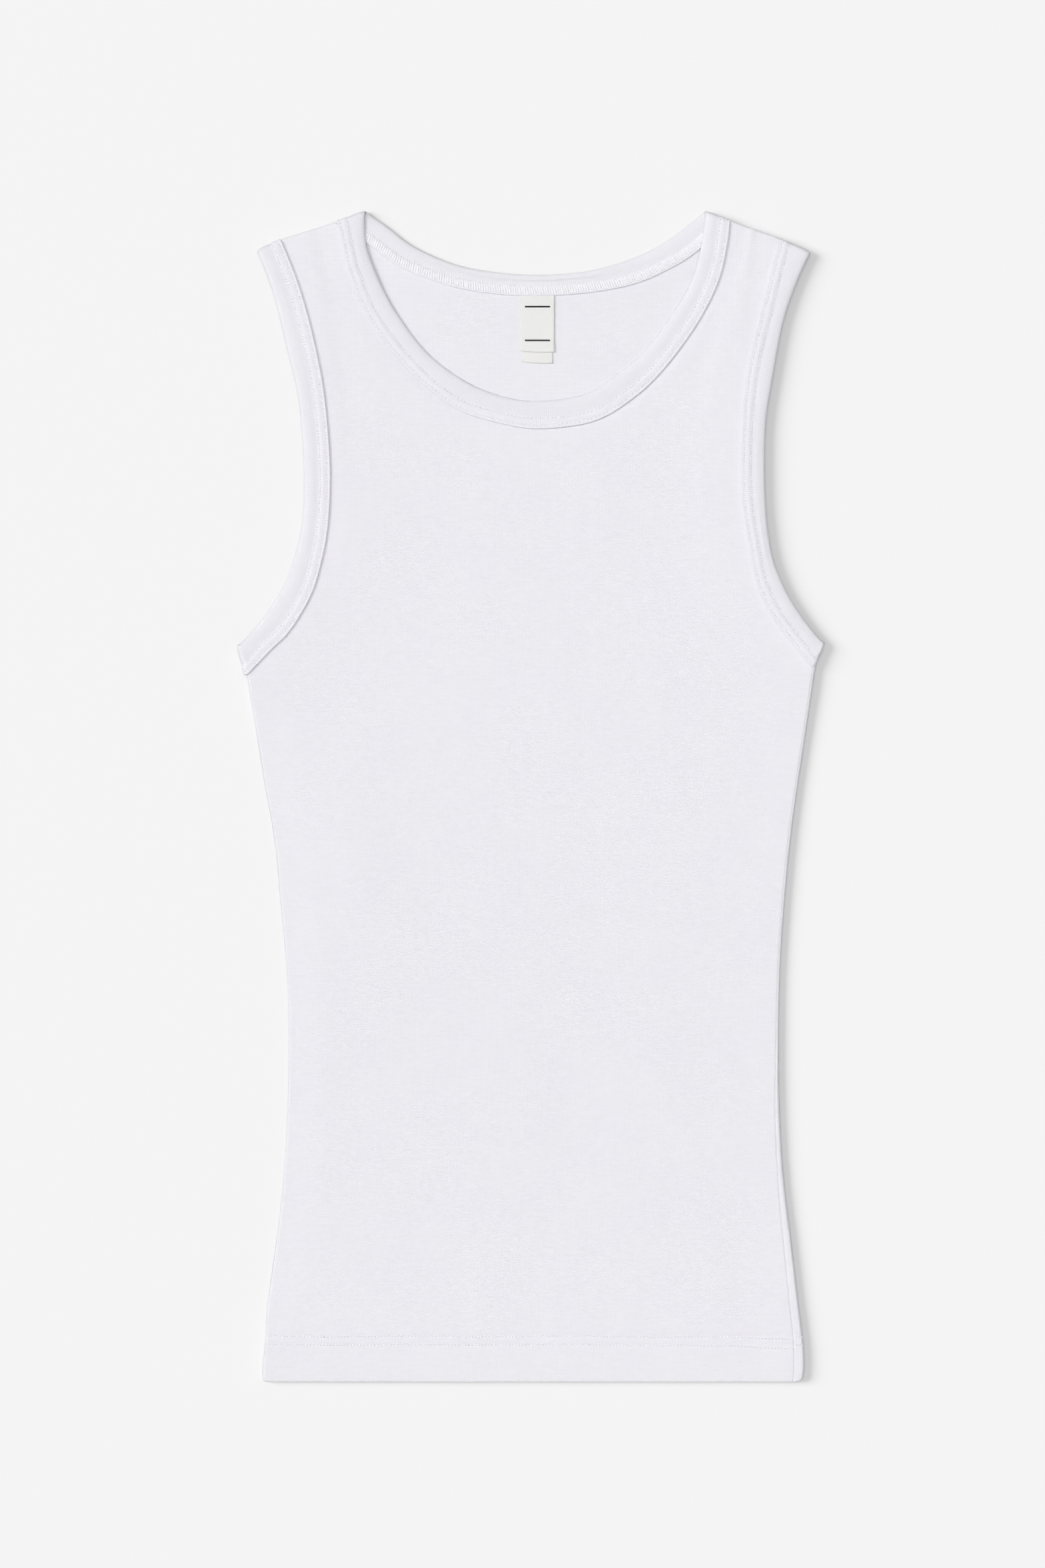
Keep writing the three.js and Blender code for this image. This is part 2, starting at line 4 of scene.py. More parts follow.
import bpy
import numpy as np
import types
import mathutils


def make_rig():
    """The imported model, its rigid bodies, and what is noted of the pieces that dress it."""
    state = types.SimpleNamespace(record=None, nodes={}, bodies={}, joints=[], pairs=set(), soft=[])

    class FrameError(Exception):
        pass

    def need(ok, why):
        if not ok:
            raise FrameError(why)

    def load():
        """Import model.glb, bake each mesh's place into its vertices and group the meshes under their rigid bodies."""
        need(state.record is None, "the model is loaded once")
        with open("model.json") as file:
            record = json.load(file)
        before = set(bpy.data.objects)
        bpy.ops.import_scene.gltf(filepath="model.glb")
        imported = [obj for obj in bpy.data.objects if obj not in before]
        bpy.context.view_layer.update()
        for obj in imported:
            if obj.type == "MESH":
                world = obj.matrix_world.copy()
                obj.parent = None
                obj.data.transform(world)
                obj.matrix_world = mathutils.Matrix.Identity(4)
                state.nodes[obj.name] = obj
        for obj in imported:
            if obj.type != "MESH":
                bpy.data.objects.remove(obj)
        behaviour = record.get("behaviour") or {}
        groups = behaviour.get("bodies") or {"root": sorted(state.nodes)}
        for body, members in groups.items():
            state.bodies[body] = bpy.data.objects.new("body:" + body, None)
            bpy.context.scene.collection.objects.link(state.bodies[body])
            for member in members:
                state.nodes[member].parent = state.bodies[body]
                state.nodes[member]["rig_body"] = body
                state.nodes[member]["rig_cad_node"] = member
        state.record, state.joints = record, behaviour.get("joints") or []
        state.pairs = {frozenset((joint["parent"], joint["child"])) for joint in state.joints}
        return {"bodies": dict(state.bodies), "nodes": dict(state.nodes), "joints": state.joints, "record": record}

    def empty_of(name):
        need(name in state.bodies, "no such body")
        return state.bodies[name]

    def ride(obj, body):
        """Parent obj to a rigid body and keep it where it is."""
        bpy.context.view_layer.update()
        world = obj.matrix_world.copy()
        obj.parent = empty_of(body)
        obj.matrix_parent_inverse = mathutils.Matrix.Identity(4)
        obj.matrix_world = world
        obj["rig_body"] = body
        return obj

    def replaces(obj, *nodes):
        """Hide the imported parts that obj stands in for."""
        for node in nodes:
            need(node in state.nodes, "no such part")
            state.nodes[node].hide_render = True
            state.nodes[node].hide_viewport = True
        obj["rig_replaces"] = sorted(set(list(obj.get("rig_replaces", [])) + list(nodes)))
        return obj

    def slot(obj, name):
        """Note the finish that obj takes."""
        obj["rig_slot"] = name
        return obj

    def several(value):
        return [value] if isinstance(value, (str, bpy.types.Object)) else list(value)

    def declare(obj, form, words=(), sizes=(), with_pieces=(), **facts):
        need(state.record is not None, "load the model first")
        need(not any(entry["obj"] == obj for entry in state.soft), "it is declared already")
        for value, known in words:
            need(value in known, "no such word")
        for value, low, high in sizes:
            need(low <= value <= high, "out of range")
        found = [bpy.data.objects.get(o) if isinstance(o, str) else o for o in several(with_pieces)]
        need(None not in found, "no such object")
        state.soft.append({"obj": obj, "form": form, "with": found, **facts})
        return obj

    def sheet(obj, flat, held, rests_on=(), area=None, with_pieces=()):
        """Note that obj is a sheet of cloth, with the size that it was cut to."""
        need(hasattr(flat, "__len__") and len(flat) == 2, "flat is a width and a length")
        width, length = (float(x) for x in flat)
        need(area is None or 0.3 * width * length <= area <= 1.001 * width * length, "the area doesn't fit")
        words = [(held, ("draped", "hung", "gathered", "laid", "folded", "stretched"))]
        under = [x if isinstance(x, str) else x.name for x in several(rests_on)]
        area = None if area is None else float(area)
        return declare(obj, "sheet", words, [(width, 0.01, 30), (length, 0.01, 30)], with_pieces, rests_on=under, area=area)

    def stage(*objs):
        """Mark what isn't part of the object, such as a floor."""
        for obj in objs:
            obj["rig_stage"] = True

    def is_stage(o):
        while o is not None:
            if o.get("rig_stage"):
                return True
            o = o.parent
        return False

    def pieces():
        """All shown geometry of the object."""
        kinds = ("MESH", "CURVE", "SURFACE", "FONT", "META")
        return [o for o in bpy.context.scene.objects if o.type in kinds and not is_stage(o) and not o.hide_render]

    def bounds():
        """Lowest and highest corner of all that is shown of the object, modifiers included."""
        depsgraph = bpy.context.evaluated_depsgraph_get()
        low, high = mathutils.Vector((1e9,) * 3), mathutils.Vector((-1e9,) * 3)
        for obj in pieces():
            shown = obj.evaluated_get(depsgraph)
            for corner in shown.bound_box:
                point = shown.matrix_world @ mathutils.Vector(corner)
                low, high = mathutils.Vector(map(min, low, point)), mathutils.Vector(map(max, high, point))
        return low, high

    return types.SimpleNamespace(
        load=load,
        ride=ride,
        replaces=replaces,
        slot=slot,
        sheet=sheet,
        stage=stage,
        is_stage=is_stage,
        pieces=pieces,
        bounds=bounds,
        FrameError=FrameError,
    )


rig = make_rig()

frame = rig.load()
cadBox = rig.bounds()
mm = 0.001


def added(name, data):  # a new object in the scene
    made = bpy.data.objects.new(name, data)
    bpy.context.scene.collection.objects.link(made)
    return made


# camera, floor and light

view = {
    "centreX": -4.7,  # what the middle of the picture shows, in mm
    "centreY": 6.7,
    "height": 846.7,  # what the picture covers from top to bottom
    "level": 3.0,  # height above the floor where that holds
    "lens": 85.0,
    "sensor": 36.0,
    "clipEnd": 20.0,  # metres
}

camera = added("camera", bpy.data.cameras.new("camera"))
camera.data.lens = view["lens"]
camera.data.sensor_width = view["sensor"]
camera.data.clip_end = view["clipEnd"]
cameraHeight = view["height"] / view["sensor"] * view["lens"] + view["level"]
camera.location = (view["centreX"] * mm, view["centreY"] * mm, cameraHeight * mm)
bpy.context.scene.camera = camera
bpy.context.scene.view_settings.view_transform = "Standard"

studio = {
    "lowLight": {"from": (-0.877, 0.155, 0.454), "strength": 2.37, "spread": 28},
    "highLight": {"from": (-0.684, 0.121, 0.719), "strength": 1.30, "spread": 30},
    "topLight": {"from": (0.0, 0.05, 1.0), "strength": 0.875, "spread": 40},
    "lampAway": 2.0,  # metres, where the lamps' symbols stand
    "surround": 0.418,
    "floorSize": 20.0,  # metres
    "floorLevel": -0.15,  # mm, just under the cloth
    "floorColour": (0.873, 0.873, 0.873),
    "floorFleck": 0.002,  # how much darker its grain is
    "floorGrain": 60.0,
    "floorBounce": 0.65,  # how pale the floor is to the cloth, so that it throws no glow back
}

for lightName in ("lowLight", "highLight", "topLight"):
    facts = studio[lightName]
    lamp = bpy.data.lights.new(lightName, "SUN")
    lamp.energy = facts["strength"]
    lamp.angle = math.radians(facts["spread"])
    light = added(lightName, lamp)
    toward = np.array(facts["from"])
    toward = toward / np.linalg.norm(toward)
    light.rotation_euler = (math.acos(toward[2]), 0, math.atan2(toward[1], toward[0]) + math.pi / 2)
    light.location = toward * studio["lampAway"]

world = bpy.data.worlds.new("surround")
world.use_nodes = True
world.node_tree.nodes["Background"].inputs["Color"].default_value = (1, 1, 1, 1)
world.node_tree.nodes["Background"].inputs["Strength"].default_value = studio["surround"]
bpy.context.scene.world = world


# finishes

class Signal:  # one shader socket, with sums and products that add Math nodes

    def __init__(self, finish, socket):
        self.finish = finish
        self.socket = socket

    def math(self, operation, *values):
        sockets = dict(enumerate(values))
        return self.finish.node("ShaderNodeMath", {"operation": operation}, sockets)

    def __add__(self, other):
        return self.math("ADD", self, other)

    __radd__ = __add__

    def __sub__(self, other):
        return self.math("SUBTRACT", self, other)

    def __rsub__(self, other):
        return self.math("SUBTRACT", other, self)

    def __mul__(self, other):
        return self.math("MULTIPLY", self, other)

    __rmul__ = __mul__

    def over(self, limit):
        return self.math("GREATER_THAN", self, limit)

    def under(self, limit):
        return self.math("LESS_THAN", self, limit)

    def sine(self):
        return self.math("SINE", self)

    def size(self):
        return self.math("ABSOLUTE", self)


class Finish:  # a material whose nodes are added one by one

    def __init__(self, name, roughness, sheen=0.0):
        self.material = bpy.data.materials.new(name)
        self.material.use_nodes = True
        self.tree = self.material.node_tree
        self.shader = self.tree.nodes["Principled BSDF"]
        self.shader.inputs["Roughness"].default_value = roughness
        self.shader.inputs["Sheen Weight"].default_value = sheen
        self.shader.inputs["Sheen Roughness"].default_value = 0.5
        self.shader.inputs["Specular IOR Level"].default_value = 0.25

    def node(self, kind, settings, sockets, result=0):
        made = self.tree.nodes.new(kind)
        for key, value in settings.items():
            setattr(made, key, value)
        for key, value in sockets.items():
            if isinstance(value, Signal):
                self.tree.links.new(value.socket, made.inputs[key])
            else:
                made.inputs[key].default_value = value
        return Signal(self, made.outputs[result])

    def parts(self, vector):  # X, Y and Z of a vector
        split = self.tree.nodes.new("ShaderNodeSeparateXYZ")
        self.tree.links.new(vector.socket, split.inputs[0])
        return [Signal(self, output) for output in split.outputs]

    def feed(self, name, signal):
        self.tree.links.new(signal.socket, self.shader.inputs[name])

    def noise(self, scale, detail=2.0):  # about 0.5 on the whole, in the object's own place
        place = self.node("ShaderNodeTexCoord", {}, {}, "Object")
        return self.node("ShaderNodeTexNoise", {}, {"Vector": place, "Scale": scale, "Detail": detail})

    def blend(self, share, first, second):
        return self.node("ShaderNodeMix", {"data_type": "RGBA"}, {0: share, 6: first, 7: second}, 2)

    def relief(self, height, distance):
        sockets = {"Strength": 1.0, "Distance": distance, "Height": height}
        self.feed("Normal", self.node("ShaderNodeBump", {}, sockets))


ribLook = {
    "patch": (0.915, 0.908, 0.932, 1),  # faint warmer patches
    "patchScale": 34.0,
    "patchFrom": 0.26,  # noise below this shows no patch
    "patchShare": 0.5,
    "course": 0.62,  # mm from one row of loops to the next
    "courseBend": 2.4,  # how far a course bends on its way into a valley
    "loopShare": 0.4,  # of loops and of fuzz in the relief
    "fuzzShare": 1.2,
    "loopDepth": 0.035,
    "fuzz": 900.0,
    "mottle": 2600.0,
    "streak": (0.14, 0.8),  # scale of the streaks across the ribs and along them
    "valleyShadeShare": 0.65,  # how much painted shade a rib valley gets, and how the streaks and the mottle darken the yarn
    "streakShare": 0.5,
    "mottleShare": 0.5,
    "darkFrom": 0.27,
}


# ridge is the yarn's own colour; valley is a darker copy of it, painted shade for the rib valleys
def ribFinish(name, ridge, valley):
    look = ribLook
    finish = Finish(name, 0.9, sheen=0.12)
    across, along = finish.parts(finish.node("ShaderNodeUVMap", {"uv_map": "cloth"}, {}))[:2]
    slant = (across * math.pi).sine().size()  # 0 on a ridge, 1 in a valley
    loops = (along * (2 * math.pi / look["course"]) + slant * look["courseBend"]).sine()
    fuzz = finish.noise(look["fuzz"], 3.0)
    finish.relief(loops * look["loopShare"] + fuzz * look["fuzzShare"], look["loopDepth"] * mm)
    streakAcross, streakAlong = look["streak"]
    wale = finish.node("ShaderNodeCombineXYZ", {}, {0: across * streakAcross, 1: along * streakAlong})
    streak = finish.node("ShaderNodeTexNoise", {}, {"Vector": wale, "Scale": 1.0, "Detail": 2.0})
    patches = finish.noise(look["patchScale"])
    mottle = finish.noise(look["mottle"], 1.0)
    # painted shade in the rib valleys, plus streaks and mottle that vary the yarn's tone at random
    dark = slant * look["valleyShadeShare"] + streak * look["streakShare"] + mottle * look["mottleShare"]
    rib = finish.blend(dark - look["darkFrom"], ridge, valley)
    patchShare = (patches - look["patchFrom"]) * look["patchShare"]
    finish.feed("Base Color", finish.blend(patchShare, rib, look["patch"]))
    finish.feed("Roughness", 0.82 + fuzz * 0.14)
    return finish.material


threadLook = {
    "light": (0.935, 0.927, 0.958, 1),
    "dark": (0.87, 0.862, 0.895, 1),
    "twist": 2400.0,
    "twistDepth": 0.04,
}


def threadFinish():
    finish = Finish("sewing thread", 0.7, sheen=0.1)
    strand = finish.noise(threadLook["twist"])
    finish.feed("Base Color", finish.blend(strand, threadLook["light"], threadLook["dark"]))
    finish.feed("Roughness", 0.6 + strand * 0.2)
    finish.relief(strand, threadLook["twistDepth"] * mm)
    return finish.material


labelLook = {
    "warp": (0.93, 0.927, 0.914, 1),
    "weft": (0.88, 0.877, 0.862, 1),
    "ink": (0.02, 0.02, 0.022, 1),
    "pick": 0.28,  # mm between two weft threads
    "pickDepth": 0.03,
    "weaveShare": 0.35,  # of the weave and of the slub in the colour
    "slubShare": 0.65,
    "slub": 1500.0,
    "bars": ((264.6, 0.9), (246.4, 0.9)),  # two level bars: height of the middle, thickness
    "barFrom": -3.4,  # their ends
    "barTo": 10.2,
}


def labelFinish():
    look = labelLook
    finish = Finish("label tape", 0.62, sheen=0.05)
    place = finish.node("ShaderNodeTexCoord", {}, {}, "Object")
    x, y = (side * 1000 for side in finish.parts(place)[:2])  # in mm
    picks = (y * (2 * math.pi / look["pick"])).sine()
    ends = (x * (2 * math.pi / look["pick"])).sine()
    weave = picks * ends
    slub = finish.noise(look["slub"])
    tape = finish.blend(weave * look["weaveShare"] + slub * look["slubShare"], look["warp"], look["weft"])
    printed = None
    for middle, thick in look["bars"]:
        bar = (y - middle).size().under(thick / 2)
        printed = bar if printed is None else printed + bar
    printed = printed * x.over(look["barFrom"]) * x.under(look["barTo"])
    finish.feed("Base Color", finish.blend(printed, tape, look["ink"]))
    finish.feed("Roughness", 0.55 + slub * 0.15)
    finish.relief(weave, look["pickDepth"] * mm)
    return finish.material


def floorFinish():
    finish = Finish("pale floor", 0.75)
    grain = finish.noise(studio["floorGrain"])
    shade, bounce = studio["floorColour"], studio["floorBounce"]
    seen = finish.node("ShaderNodeLightPath", {}, {}, "Is Camera Ray")
    pale = finish.blend(grain, (*shade, 1), (*[c - studio["floorFleck"] for c in shade], 1))
    finish.feed("Base Color", finish.blend(seen, (bounce, bounce, bounce, 1), pale))
    finish.feed("Roughness", 0.72 + grain * 0.06)
    return finish.material


# yarn colour on the ridges, then a darker copy painted as shade in the rib valleys, a little deeper on the binding
bodyRib = ribFinish("body rib", (0.940, 0.930, 0.972, 1), (0.820, 0.810, 0.860, 1))
bindingRib = ribFinish("binding rib", (0.942, 0.932, 0.974, 1), (0.808, 0.798, 0.850, 1))
thread = threadFinish()
labelTape = labelFinish()
print("finishes made")

floorHalf = studio["floorSize"] / 2
floorMesh = bpy.data.meshes.new("floor")
floorCorners = [(x * floorHalf, y * floorHalf, studio["floorLevel"] * mm)
                for x, y in ((-1, -1), (1, -1), (1, 1), (-1, 1))]
floorMesh.from_pydata(floorCorners, [], [(0, 1, 2, 3)])
floor = added("floor", floorMesh)
floorMesh.materials.append(floorFinish())
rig.stage(floor)

# the low light only draws long soft shadows on the floor, and the high light only shapes the cloth
litBy = {}
for lightName in ("lowLight", "highLight"):
    litBy[lightName] = bpy.data.collections.new("lit by " + lightName)
    bpy.data.objects[lightName].light_linking.receiver_collection = litBy[lightName]
litBy["lowLight"].objects.link(floor)


# the garment's lines, in mm: X across, Y from hem to neck

garment = {
    "wall": 0.8,  # thickness of the knitted cloth
    "hemEdge": -316.3,
    "hemTop": -291.4,
    "armpit": 79.0,
    "sideTop": 330.0,  # the side lines run on inside the armholes, up to here
    "bodyTop": 2.9,  # height of the front over the floor in the middle
    "leftTop": 1.7,  # and near the left fold, which lies lower
    "rightTop": 3.3,
    "hemHeight": 3.5,  # and at the hem, where both layers are double
    "frontFall": 46.0,  # the front settles from an armhole binding in this distance
    "scoopFall": 24.0,  # and from the neck binding in this one
    "hemFall": 32.0,  # from the hem
    "sideFall": 22.0,  # and toward a side fold
    "backFall": 10.0,
    "laidRim": 0.8,  # the panel stays up this far beyond a binding
    "armEase": 0.12,  # how soon the creases start beside an armhole and a neck binding
    "neckEase": 0.5,
    "sway": 0.10,  # unevenness of cloth that lies free, long and short
    "ripple": 0.06,
    "hemRows": (-291.6, -296.1),  # the hem stitching pulls the front down in two lines
    "hemRowWidth": 0.6,
    "hemRowDepth": 0.34,
    "bindingStack": 2.5,  # strip, panel and strip
    "seat": 0.52,  # the panel's underside above the binding's
    "foldAcross": 1.5,  # half width of a side or shoulder fold
    "ribDepth": 0.27,
}
seat = garment["seat"]
frontBase = garment["bindingStack"] + 0.1
turnLevel = frontBase - 0.05  # a binding turns from front to back round this height, in mm
foldAcross = garment["foldAcross"]

sideRows = np.array([  # y, left edge, right edge, seam inside the right edge
    (-316.3, -144.4, 143.4, 2.4),
    (-315.4, -145.0, 146.0, 4.6),
    (-313.6, -145.2, 147.2, 5.4),
    (-311.0, -145.3, 147.5, 5.6),
    (-304.4, -144.9, 147.7, 5.7),
    (-296.4, -143.9, 147.2, 5.3),
    (-275.6, -142.8, 144.7, 4.8),
    (-239.6, -137.6, 140.6, 4.3),
    (-203.6, -133.7, 136.3, 3.1),
    (-167.6, -131.8, 134.3, 2.4),
    (-131.6, -131.2, 133.9, 1.5),
    (-95.6, -132.0, 134.5, 1.3),
    (-59.6, -135.4, 136.8, 1.3),
    (-23.6, -138.7, 140.2, 1.3),
    (12.4, -145.2, 145.1, 1.3),
    (40.0, -149.4, 149.4, 1.3),
    (54.0, -151.8, 151.3, 1.3),
    (60.0, -152.6, 152.3, 1.3),
    (66.0, -153.6, 153.0, 1.3),
    (72.0, -154.9, 154.2, 1.3),
    (79.0, -156.2, 156.0, 1.3),
    (330.0, -156.2, 156.0, 1.3),
])
shoulderLines = {  # the panel's outer edge there, which is a little shorter inside the bindings
    "left": np.array([(-148.5, 293.5), (-136.2, 299.4), (-134.6, 301.3), (-105.9, 310.3),
                      (-104.2, 309.4), (-88.0, 315.0)]),
    "right": np.array([(93.0, 315.2), (106.2, 309.9), (108.0, 310.9), (133.6, 301.8),
                       (135.4, 299.6), (151.4, 292.3)]),
}

# bindings: folded edge x, y and laid edge x, y
# armholes run from armpit to shoulder, necks from left to right
armholeLeft = np.array([
    (-158.2, 81.2, -154.8, 63.9), (-150.5, 89.5, -141.0, 78.5), (-143.1, 98.8, -130.5, 89.0),
    (-134.0, 113.2, -119.8, 106.5), (-128.6, 127.6, -114.2, 122.4), (-123.7, 148.0, -109.6, 146.5),
    (-123.0, 178.0, -108.5, 178.5), (-125.7, 214.0, -111.6, 216.5), (-132.2, 242.8, -117.4, 247.0),
    (-139.4, 271.6, -125.3, 275.5), (-148.3, 295.0, -135.4, 301.1),
])
armholeRight = np.array([
    (158.2, 82.6, 152.5, 68.0), (150.4, 91.6, 140.6, 82.6), (140.5, 106.0, 129.3, 98.0),
    (133.6, 120.4, 121.4, 115.5), (129.4, 135.0, 118.0, 132.0), (126.6, 161.0, 113.5, 161.0),
    (126.8, 199.6, 113.7, 200.5), (131.1, 228.4, 117.0, 231.5), (136.7, 257.2, 124.0, 261.0),
    (144.2, 278.8, 129.5, 283.0), (151.2, 293.9, 134.3, 301.6),
])
neckFront = np.array([  # and the height of its underside
    (-89.6, 316.3, -105.1, 310.5, 2.6), (-89.4, 300.4, -102.4, 299.0, 2.6),
    (-85.0, 286.0, -98.4, 282.6, 2.1), (-74.5, 264.4, -87.5, 257.2, 1.4),
    (-56.5, 240.3, -67.2, 231.2, 0.95), (-34.9, 224.1, -42.1, 210.1, 0.88),
    (-13.3, 215.8, -15.7, 201.2, 0.87), (6.0, 213.9, 6.0, 198.6, 0.87), (29.9, 218.0, 34.2, 202.7, 0.87),
    (47.0, 228.8, 56.0, 215.7, 0.88), (62.0, 241.7, 73.0, 232.3, 0.95), (77.8, 263.0, 90.5, 256.5, 1.4),
    (87.6, 281.5, 101.3, 278.5, 2.1), (92.0, 300.0, 106.0, 298.5, 2.6), (94.2, 316.3, 107.3, 311.0, 2.6),
])
neckBack = np.array([
    (-89.6, 316.3, -105.1, 310.5), (-78.1, 308.3, -86.4, 297.0), (-63.7, 297.5, -70.5, 285.8),
    (-42.1, 288.0, -45.5, 276.2), (-20.5, 283.7, -22.0, 271.7), (4.0, 282.1, 4.0, 270.4),
    (29.9, 284.0, 31.5, 272.2), (51.5, 289.7, 55.5, 276.8), (67.0, 296.5, 73.5, 284.4),
    (80.3, 305.1, 89.0, 294.0), (94.2, 316.3, 107.3, 311.0),
])

creases = np.array([  # x, y, turn from +Y, half length, half width, depth (a ridge is above 0)
    (100, 262, -14, 44, 6, -0.60), (108, 262, -16, 40, 5, 0.50), (112, 296, -10, 16, 3, -0.35),
    (117, 294, -8, 18, 3, 0.40), (123, 290, -10, 18, 3, -0.30), (-103, 240, 12, 40, 9, -0.45),
    (-118, 288, 14, 24, 4, 0.40), (-111, 290, 14, 24, 4, -0.40), (-126, 282, 16, 22, 4, -0.30),
    (-92, 92, 62, 50, 14, -0.55),
    (-72, 112, 60, 46, 16, 0.40), (-108, 70, 50, 30, 9, -0.30), (-88, -52, 8, 62, 20, 1.00),
    (-112, -140, 2, 70, 10, 0.20), (-38, -276, 0, 26, 6, -0.20), (-29, -274, 3, 26, 5, 0.12),
    (-20, -272, 4, 30, 5, 0.12), (2, -275, -3, 24, 6, -0.20), (12, -274, -2, 24, 5, 0.10),
    (24, -270, 2, 28, 6, 0.12), (46, -277, -5, 22, 6, -0.18), (58, -276, -4, 22, 6, 0.10),
    (112, -262, 14, 40, 10, -0.30), (98, -250, 12, 46, 10, 0.20), (60, 60, -30, 60, 22, 0.25),
    (20, -60, 10, 90, 26, -0.20), (70, -150, -6, 90, 20, 0.25), (-20, 120, 24, 60, 22, 0.20),
])
backCreases = np.array([  # lifts of the back on its inner and hidden side
    (0, 60, 20, 90, 24, 0.25), (-60, -120, -8, 80, 16, 0.20), (70, -210, 6, 60, 14, 0.20),
    (-30, 250, 74, 30, 7, 0.20), (44, 254, -70, 26, 7, 0.18),
])


def smooth(low, high, x):
    t = np.clip((x - low) / (high - low), 0, 1)
    return t * t * (3 - 2 * t)


def curveAt(points, t):  # a smooth curve through points, evenly shared from 0 to 1
    place = np.clip(np.asarray(t, float), 0, 1) * (len(points) - 1)
    i = np.minimum(place.astype(int), len(points) - 2)
    w = (place - i)[..., None]
    last = len(points) - 1
    before, here = points[np.maximum(i - 1, 0)], points[i]
    there, after = points[i + 1], points[np.minimum(i + 2, last)]
    leave, arrive = (there - before) * 0.5, (after - here) * 0.5
    return ((2 * here - 2 * there + leave + arrive) * w ** 3
            + (-3 * here + 3 * there - 2 * leave - arrive) * w ** 2 + leave * w + here)


def bandAt(table, t):
    at = curveAt(table, t)
    across = at[..., 2:4] - at[..., 0:2]
    width = np.linalg.norm(across, axis=-1)
    return {"edge": at[..., 0:2], "inward": across / width[..., None], "width": width, "row": at}


def insetLine(table, inset):
    band = bandAt(table, np.linspace(0, 1, 80))
    return band["edge"] + band["inward"] * inset


laidLines = {
    name: curveAt(table, np.linspace(0, 1, 61))[:, 2:4]
    for name, table in (("left", armholeLeft), ("right", armholeRight),
                        ("neckFront", neckFront), ("neckBack", neckBack))
}
# which side of its line a binding is on
bindingSide = {"left": 1, "right": -1, "neckFront": 1, "neckBack": 1}


def besideLine(name, x, y):  # distance from a binding, 0 under it, and the nearest point's share of its line
    line = laidLines[name]
    a, d = line[:-1], np.diff(line, axis=0)
    px, py = x[:, None] - a[:, 0], y[:, None] - a[:, 1]
    t = np.clip((px * d[:, 0] + py * d[:, 1]) / (d ** 2).sum(1), 0, 1)
    away = np.hypot(px - t * d[:, 0], py - t * d[:, 1])
    near = away.argmin(1)
    pick = np.arange(len(x))
    turn = d[near, 0] * py[pick, near] - d[near, 1] * px[pick, near]
    distance = np.where(turn * bindingSide[name] > 0, 0, away[pick, near])
    return distance, (near + t[pick, near]) / (len(line) - 1)


def rise(name, x, y, fall):  # 1 at a binding, falling to 0
    distance, share = besideLine(name, x, y)
    return 1 - smooth(0, fall, distance - garment["laidRim"]), share


def creaseAt(table, x, y):
    total = np.zeros_like(x)
    for cx, cy, angle, length, width, depth in table:
        turn = math.radians(angle)
        along = (y - cy) * math.cos(turn) - (x - cx) * math.sin(turn)
        across = (x - cx) * math.cos(turn) + (y - cy) * math.sin(turn)
        total += depth * np.exp(-((along / length) ** 2) - (across / width) ** 2)
    return total


def backLow(x, y):
    beside = [rise(name, x, y, garment["backFall"])[0] for name in ("left", "right", "neckBack")]
    lifted = np.max(beside, axis=0)
    return seat * lifted + (1 - lifted) * np.maximum(creaseAt(backCreases, x, y), 0)


def frontHigh(x, y):
    g = garment
    hemRise = 1 - smooth(g["hemTop"], g["hemTop"] + g["hemFall"], y)
    fromSides = x - rowColumn(1, y), rowColumn(2, y) - x
    toLeft, toRight = (1 - smooth(0, g["sideFall"], distance) for distance in fromSides)
    rest = g["bodyTop"] * (1 - toLeft - toRight) + g["leftTop"] * toLeft + g["rightTop"] * toRight
    rest = rest * (1 - hemRise) + g["hemHeight"] * hemRise
    arm = np.maximum(rise("left", x, y, g["frontFall"])[0], rise("right", x, y, g["frontFall"])[0])
    neck, share = rise("neckFront", x, y, g["scoopFall"])
    laidTop = seat + g["wall"]
    neckLevel = np.interp(share, np.linspace(0, 1, len(neckFront)), neckFront[:, 4]) + laidTop
    armHeld, neckHeld = arm * (frontBase + laidTop - rest), neck * (neckLevel - rest)
    under = 0.999  # from here on, the panel is under the binding
    held = np.where(neck >= under, neckHeld, np.where(arm >= under, armHeld, np.maximum(armHeld, neckHeld)))
    free = smooth(0, g["armEase"], 1 - arm) * smooth(0, g["neckEase"], 1 - neck)
    sway = g["sway"] * np.sin(x / 21 + y / 55) * np.sin(y / 34 - x / 80)
    sway = sway + g["ripple"] * np.sin(x / 9.5 - y / 60)
    sewn = sum(np.exp(-((y - row) / g["hemRowWidth"]) ** 2) for row in g["hemRows"])
    return rest + held + free * (creaseAt(creases, x, y) + sway) - g["hemRowDepth"] * sewn


def rowColumn(column, y):  # a smooth line through one column of the side rows
    ys, values = sideRows[:, 0], sideRows[:, column]
    slopes = np.gradient(values, ys)
    slopes[-2:] = 0
    i = np.clip(np.searchsorted(ys, y) - 1, 0, len(ys) - 2)
    step = ys[i + 1] - ys[i]
    w = np.clip((y - ys[i]) / step, 0, 1)
    return (values[i] * (1 + 2 * w) * (1 - w) ** 2 + slopes[i] * step * w * (1 - w) ** 2
            + values[i + 1] * w * w * (3 - 2 * w) + slopes[i + 1] * step * w * w * (w - 1))


def foldArc(top, low):  # length of cloth round a fold between two heights
    return math.pi * np.sqrt((foldAcross ** 2 + (0.5 * (top - low)) ** 2) / 2)


# edge heights along the sides, for how far the cloth travels round each fold
edgeYs = np.linspace(garment["hemEdge"], garment["sideTop"], 240)
edgeFacts = {}
for column, sign in ((1, 1), (2, -1)):
    edgeX = rowColumn(column, edgeYs) + sign * foldAcross
    level = np.minimum(edgeYs, garment["armpit"])
    edgeFacts[column] = foldArc(frontHigh(edgeX, level), backLow(edgeX, level))


